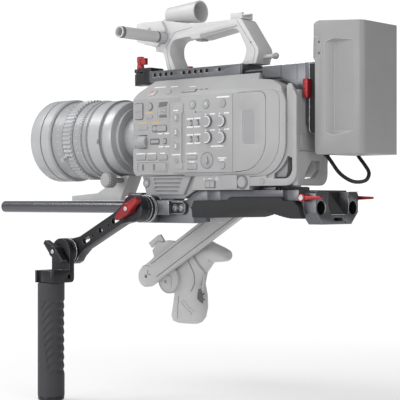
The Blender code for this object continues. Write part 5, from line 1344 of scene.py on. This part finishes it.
def battery_details():
    """The battery's ridges; on its contact plate and bracket, black rails and sheets of painted shade in the gap by
    the battery, bright lines of painted highlight along the top edges, seams and screws; and ridges on the release
    lever.
    """
    low, high = node_box("battery_pack")
    x = high.x
    ridge = bmesh.new()
    stroke(ridge, "X", rounded([(-7.2, 162.4, 0.5), (3.8, 162.4, 2.0), (3.8, 185.8, 2.0), (-6.6, 185.8, 0.5)], 4), x, 0.22, True, 8)
    for side in (-1, 1):
        stroke(ridge, "X", rounded([(7.8, 82.3, 1.0), (19.0, 77.6, 1.0), (47.2, 81.8, 1.5), (47.2, 179.0, 1.5), (19.0, 183.0, 1.0), (7.4, 179.2, 1.0)], 3), side * x, 0.18, True, 6)
    piece("battery_ridges", ridge, "shell", "battery_body")
    # Painted shade: black strips along the plate's edges, for the shaded gap between plate and battery.
    rails = bmesh.new()
    plate_low, plate_high = node_box("battery_plate")
    block(rails, (plate_high.x - 1.6, plate_high.y - 0.8, 96.0), (plate_high.x - 0.1, plate_high.y + 0.25, 150.0), 0.2)
    block(rails, (plate_low.x + 0.1, plate_high.y - 0.8, 96.0), (plate_low.x + 1.6, plate_high.y + 0.25, 150.0), 0.2)
    piece("battery_plate_gap_shade", rails, "black_and_gap_shade", "battery_bracket_body")
    # Painted highlights: bright steel lines along the bracket's top edges and the plate's front edge.
    edges = bmesh.new()
    stroke(edges, "X", [(-78.6, 158.8), (-53.6, 158.8)], plate_high.x, 0.32)
    stroke(edges, "X", [(-51.8, 158.8), (-19.6, 158.8)], plate_high.x, 0.32)
    stroke(edges, "X", [(-13.5, 158.0), (-13.5, 86.0), (-11.8, 82.2)], plate_high.x, 0.18)
    piece("battery_bracket_edge_highlights", edges, "steel", "battery_bracket_body")
    # Dark seams, and black sheets on the plate's side and back: real seams, and painted shade in the gap by the
    # battery.
    seams = bmesh.new()
    stroke(seams, "X", [(-52.7, 158.6), (-52.7, 145.4)], plate_high.x, 0.3)
    stroke(seams, "X", [(-30.4, 158.6), (-30.4, 141.0)], plate_high.x, 0.24)
    side = [(-13.0, 157.0), (-13.0, 86.2), (-11.4, 82.6), (plate_high.y, 80.4), (plate_high.y, 157.0)]
    slab(seams, "X", side, plate_high.x - 0.2, plate_high.x + 0.2, 0.0)
    slab(seams, "Y", oblong(plate_low.x + 0.4, plate_high.x - 0.4, 92.0, 157.0, 0.5), plate_high.y - 0.3, plate_high.y + 0.2)
    piece("battery_bracket_seams_and_shade", seams, "black_and_gap_shade", "battery_bracket_body")
    screws = bmesh.new()
    for sx in (-24.0, 24.0):
        for sy in (-70.0, -28.0):
            screw_head(screws, "Z", (sx, sy), 2.4, 159.0, 159.5)
    piece("battery_bracket_screws", screws, "steel", "battery_bracket_body")
    lever = bmesh.new()
    for step in range(5):
        z = 124.0 + 3.2 * step
        block(lever, (39.7, -16.2, z - 0.5), (40.3, -12.4, z + 0.5), 0.2)
    piece("release_lever_ridges", lever, "red", "release_lever_body")


def cable_details():
    """A ribbed strain relief at one end of the power cable."""
    shape = bmesh.new()
    for step in range(6):
        share = step / 5
        part = bmesh.new()
        turned(part, "Z", (0.0, 0.0), [(2.0, -0.7), (3.2 - 0.5 * share, -0.5), (3.2 - 0.5 * share, 0.5), (2.0, 0.7)], 24, ring=True)
        place = Vector((8.0, -18.4, 66.0)).lerp(Vector((5.4, -9.0, 56.6)), share)
        way = Vector((-2.6, 9.4, -9.4)).to_track_quat("Z", "Y").to_matrix().to_4x4()
        part.transform(Matrix.Translation(place) @ way)
        merge(shape, part)
    piece("cable_strain_relief", shape, "cable", "battery_bracket_body")


def cavity_floor():
    """The inner wall seen through the opening between the casing's rear arc and the guard."""
    shape = bmesh.new()
    outline = [(-76.0, 34.0), (-38.0, 34.0), (-35.5, 40.0), (-35.5, 78.0), (-44.0, 66.0), (-58.0, 50.0)]
    slab(shape, "X", outline, 38.0, 43.5, 0.6)
    stroke(shape, "X", [(-70.0, 39.0), (-52.0, 44.0), (-42.0, 58.0)], 43.5, 0.7)
    piece("rear_cavity_wall", shape, "dark_shell", "rig_frame")


def arm_details():
    """The camera arm's long grooves, its end cover and pivot, and its clamp above the grip."""
    start, end = Vector((-138.0, 36.0)), Vector((-354.0, -92.0))
    along = (end - start).normalized()
    across = Vector((-along.y, along.x))

    def spot(way, side):
        return tuple(start + along * way + across * side)

    length = (end - start).length
    gaps, trims = bmesh.new(), bmesh.new()
    for side in (-9.6, 9.6):
        stroke(gaps, "X", [spot(8.0, side), spot(length - 17.0, side)], ARM_FACE_X, 0.45)
    stroke(gaps, "X", arc((end.x, end.y), (14.6, 14.6), 62, 118, 6), ARM_FACE_X, 0.3)
    stroke(gaps, "X", [spot(length - 8.0, -6.0), spot(length - 4.0, -1.6), spot(length - 8.5, 2.2)], ARM_FACE_X, 0.45)
    turned(gaps, "X", spot(length, 0.0), [(0.0, ARM_FACE_X + 0.1), (2.3, ARM_FACE_X + 0.1), (2.3, ARM_FACE_X - 0.2)], 24)
    turned(gaps, "X", spot(30.0, 4.0), [(0.0, ARM_FACE_X + 0.1), (2.6, ARM_FACE_X + 0.1), (2.6, ARM_FACE_X - 0.2)], 24)
    turned(trims, "X", spot(30.0, 4.0), [(2.7, ARM_FACE_X), (3.6, ARM_FACE_X), (3.3, ARM_FACE_X + 0.5), (2.9, ARM_FACE_X + 0.5)], 32, ring=True)
    piece("camera_arm_grooves", gaps, "recess", "camera_arm_body")
    clamp = [
        (-335.1, -45.7),
        (-344.4, -57.6),
        (-340.6, -66.1),
        (-351.0, -73.5),
        (-334.2, -74.0),
        (-301.7, -54.0),
        (-306.0, -44.4, 3.0),
        (-318.0, -43.6, 3.0),
        (-324.7, -47.0),
    ]
    slab(trims, "X", rounded(clamp), -70.9, -66.0, 0.4)
    tab = [(-352.7, -48.0), (-336.0, -37.4), (-331.5, -36.4), (-324.7, -44.8), (-331.5, -48.6), (-336.0, -44.3), (-347.2, -54.0)]
    slab(trims, "X", tab, -70.5, -67.5, 0.3)
    piece("camera_arm_clamp", trims, "shell_painted_lighter", "camera_arm_body")


def skin_reader(node):
    """A function from (Y, Z) to the place where a ray from the left meets a node's skin."""
    shape = bmesh.new()
    shape.from_mesh(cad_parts[node].data)
    shape.transform(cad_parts[node].matrix_world)
    tree = BVHTree.FromBMesh(shape)
    shape.free()

    def read(y, z):
        start = Vector((0.0, y * MM, z * MM + ROD_Z))
        hit = tree.ray_cast(start, Vector((-1.0, 0.0, 0.0)))[0]
        return Vector((hit.x / MM, y, z)) if hit else None

    return read


def draped(shape, read, path, radius, lift=0.0, sides=8):
    """A round bead that follows a skin along a path of (Y, Z) points."""
    points = []
    for start, end in zip(path, path[1:]):
        steps = max(2, round((Vector(end) - Vector(start)).length / 1.5))
        for step in range(steps + 1):
            point = Vector(start).lerp(Vector(end), step / steps)
            found = read(point.x, point.y)
            if found:
                points.append(found + Vector((lift, 0.0, 0.0)))
    if len(points) < 2:
        return
    part = bmesh.new()
    rings = []
    for index, point in enumerate(points):
        way = points[min(index + 1, len(points) - 1)] - points[max(index - 1, 0)]
        turn = way.to_track_quat("Z", "Y")
        ring = []
        for side in range(sides):
            angle = 2 * math.pi * side / sides
            ring.append(part.verts.new(point + turn @ Vector((radius * math.cos(angle), radius * math.sin(angle), 0.0))))
        rings.append(ring)
    part.faces.new(rings[0])
    part.faces.new(rings[-1])
    for first, second in zip(rings, rings[1:]):
        for side in range(sides):
            after = (side + 1) % sides
            part.faces.new((first[side], second[side], second[after], first[after]))
    merge(shape, part)


def grip_details():
    """The side grip's dial, strap loop, dark window, seam and pad, laid over its curved skin."""
    read = skin_reader("camera_grip")
    raised, dark, window = bmesh.new(), bmesh.new(), bmesh.new()
    draped(raised, read, arc((-318.0, -92.0), (44.0, 44.0), 42, -22, 16), 2.0, -0.4)
    draped(dark, read, arc((-322.0, -92.0), (38.5, 40.0), 48, -26, 16), 0.8)
    draped(dark, read, arc((-318.0, -92.0), (47.0, 47.0), 46, -20, 16), 0.6)
    draped(dark, read, [(-262.0, -68.0), (-258.0, -84.0), (-258.0, -104.0)], 0.5)
    for step in range(12):
        share = step / 11
        z = -107.4 - 20.0 * share
        front = -280.2 + 6.0 * max(0.0, share - 0.6) / 0.4
        rear = -263.0 - 1.6 * share - 5.0 * max(0.0, share - 0.5) / 0.5
        draped(window, read, [(front, z), (rear - 3.5, z)], 1.1, -0.5)
    draped(dark, read, [(-327.0, -121.0), (-331.5, -146.0)], 0.5)
    draped(dark, read, [(-306.5, -116.0), (-310.0, -145.0)], 0.6)
    draped(raised, read, [(-303.0, -124.0), (-288.0, -139.0)], 2.2, -0.6)
    draped(raised, read, [(-299.0, -121.0), (-284.0, -136.0)], 1.2, -0.3)
    turned(raised, "X", (-321.0, -95.0), [(14.6, -72.6), (16.6, -72.6), (16.2, -72.0), (15.0, -72.0)], 64, ring=True)
    slab(raised, "X", oblong(-331.0, -316.0, -105.0, -90.5, 1.5), -72.6, -71.2, 0.5)
    turned(dark, "X", (-321.0, -95.0), [(17.2, -72.6), (18.1, -72.6), (18.1, -72.1), (17.2, -72.1)], 64, ring=True)
    turned(dark, "X", (-325.5, -98.0), [(0.0, -71.1), (2.4, -71.1), (2.4, -71.6), (0.0, -71.6)], 24)
    piece("side_grip_trims", raised, "shell_painted_lighter", "camera_grip_body")
    piece("side_grip_lines", dark, "dark_shell", "camera_grip_body")
    piece("side_grip_window", window, "lens_groove", "camera_grip_body")


def base_lines():
    """The dark joints and milled steps along the shoulder base and the slide plate."""
    shape = bmesh.new()
    for side in (-1, 1):
        x = side * 45.0
        stroke(shape, "X", [(-262.0, 7.6), (-184.0, 7.6)], x, 0.25)
        stroke(shape, "X", [(-164.0, 18.4), (-42.0, 18.4)], x, 0.2)
    piece("base_edge_lines", shape, "rig_black", "rig_frame")
    shape = bmesh.new()
    block(shape, (-44.4, -41.4, 7.6), (44.4, -34.8, 19.4), 0.3)
    block(shape, (-45.25, -40.6, 7.9), (45.25, -35.6, 19.4), 0.2)
    # A black key whose ends also paint the shade on the side faces of the base's tail.
    block(shape, (-28.0, -62.3, 19.9), (28.0, -58.8, 23.3), 0.2)
    piece("base_cross_key_and_shade", shape, "rig_black", "rig_frame")


# ---------------------------------------------------------------- stage, light and camera


ARM_FACE_X = -64.0
BRIGHT_SIDE = (0.62, -0.46, 0.63)
SOFT_BOXES = (
    ("key_light", (0.9, -1.3, 1.5), 0.9, 22.0),
    ("side_light", (1.9, -0.5, 0.35), 0.8, 12.0),
    ("rear_light", (0.9, 1.7, 0.9), 0.9, 11.0),
)


def stage():
    """A pale floor under the grip's foot that grows as bright as the background away from the rig."""
    floor_z = CAD_BOX[0].z - 0.001
    mesh = bpy.data.meshes.new("studio_floor")
    shape = bmesh.new()
    bmesh.ops.create_circle(shape, cap_ends=True, segments=96, radius=30.0)
    shape.transform(Matrix.Translation((0.0, -0.2, floor_z)))
    shape.to_mesh(mesh)
    shape.free()
    floor = bpy.data.objects.new("studio_floor", mesh)
    bpy.context.scene.collection.objects.link(floor)
    material = bpy.data.materials.new("pale_floor")
    material.use_nodes = True
    tree = material.node_tree
    shader = tree.nodes["Principled BSDF"]
    mottle = tree.nodes.new("ShaderNodeTexNoise")
    mottle.inputs["Scale"].default_value = 3.0
    tint = tree.nodes.new("ShaderNodeMapRange")
    tint.inputs["To Min"].default_value = 0.90
    tint.inputs["To Max"].default_value = 0.93
    tree.links.new(mottle.outputs["Fac"], tint.inputs["Value"])
    tree.links.new(tint.outputs["Result"], shader.inputs["Base Color"])
    shader.inputs["Roughness"].default_value = 0.9
    shader.inputs["Specular IOR Level"].default_value = 0.0
    place = tree.nodes.new("ShaderNodeTexCoord")
    distance = tree.nodes.new("ShaderNodeVectorMath")
    distance.operation = "LENGTH"
    tree.links.new(place.outputs["Object"], distance.inputs[0])
    far = tree.nodes.new("ShaderNodeMapRange")
    far.inputs["From Min"].default_value = 0.35
    far.inputs["From Max"].default_value = 0.95
    far.inputs["To Min"].default_value = 0.45
    tree.links.new(distance.outputs["Value"], far.inputs["Value"])
    glow = tree.nodes.new("ShaderNodeEmission")
    glow.inputs["Strength"].default_value = 1.02
    mixed = tree.nodes.new("ShaderNodeMixShader")
    tree.links.new(far.outputs["Result"], mixed.inputs["Fac"])
    tree.links.new(shader.outputs["BSDF"], mixed.inputs[1])
    tree.links.new(glow.outputs["Emission"], mixed.inputs[2])
    tree.links.new(mixed.outputs["Shader"], tree.nodes["Material Output"].inputs["Surface"])
    mesh.materials.append(material)


def studio_light():
    """A white room for the camera, a softer and one-sided one for the object, and three soft boxes."""
    world = bpy.data.worlds.new("studio")
    bpy.context.scene.world = world
    world.use_nodes = True
    tree = world.node_tree
    seen = tree.nodes["Background"]
    seen.inputs["Color"].default_value = (1.0, 1.0, 1.0, 1.0)
    seen.inputs["Strength"].default_value = 1.05
    felt = tree.nodes.new("ShaderNodeBackground")
    felt.inputs["Color"].default_value = (1.0, 1.0, 1.0, 1.0)
    way = tree.nodes.new("ShaderNodeTexCoord")
    facing = tree.nodes.new("ShaderNodeVectorMath")
    facing.operation = "DOT_PRODUCT"
    facing.inputs[1].default_value = BRIGHT_SIDE
    tree.links.new(way.outputs["Generated"], facing.inputs[0])
    level = tree.nodes.new("ShaderNodeMapRange")
    level.inputs["From Min"].default_value = -0.8
    level.inputs["From Max"].default_value = 0.9
    level.inputs["To Min"].default_value = 0.16
    level.inputs["To Max"].default_value = 0.62
    tree.links.new(facing.outputs["Value"], level.inputs["Value"])
    tree.links.new(level.outputs["Result"], felt.inputs["Strength"])
    rays = tree.nodes.new("ShaderNodeLightPath")
    mixed = tree.nodes.new("ShaderNodeMixShader")
    tree.links.new(rays.outputs["Is Camera Ray"], mixed.inputs["Fac"])
    tree.links.new(felt.outputs["Background"], mixed.inputs[1])
    tree.links.new(seen.outputs["Background"], mixed.inputs[2])
    tree.links.new(mixed.outputs["Shader"], tree.nodes["World Output"].inputs["Surface"])
    target = Vector((0.0, -0.2, 0.05))
    for name, place, size, power in SOFT_BOXES:
        light = bpy.data.lights.new(name, "AREA")
        light.size = size
        light.energy = power
        holder = bpy.data.objects.new(name, light)
        holder.location = place
        holder.rotation_mode = "QUATERNION"
        holder.rotation_quaternion = (target - Vector(place)).to_track_quat("-Z", "Y")
        bpy.context.scene.collection.objects.link(holder)
    bpy.context.scene.view_settings.view_transform = "Standard"


def camera():
    """The camera behind and to the left of the rig, level with its rods."""
    lens = bpy.data.cameras.new("camera")
    lens.sensor_width = 36.0
    lens.lens = 117.0
    lens.shift_y = 0.0025
    holder = bpy.data.objects.new("camera", lens)
    holder.location = (1.1739, 0.8365, 0.0163)
    holder.rotation_mode = "QUATERNION"
    holder.rotation_quaternion = Vector((-0.74896, -0.66262, 0.0)).to_track_quat("-Z", "Y")
    bpy.context.scene.collection.objects.link(holder)
    bpy.context.scene.camera = holder


dress_cad_nodes()
rosettes()
lever_screws()
plate_threads()
knobs()
clamp_details()
pad()
grip_sleeve()
panel_controls()
assign_strip()
dial_details()
side_prints()
front_controls()
lower_controls()
cheek()
door_details()
shoulder_controls()
right_side()
rear_details()
lens_details()
handle_details()
battery_details()
cable_details()
arm_details()
grip_details()
cavity_floor()
base_lines()
stage()
studio_light()
camera()
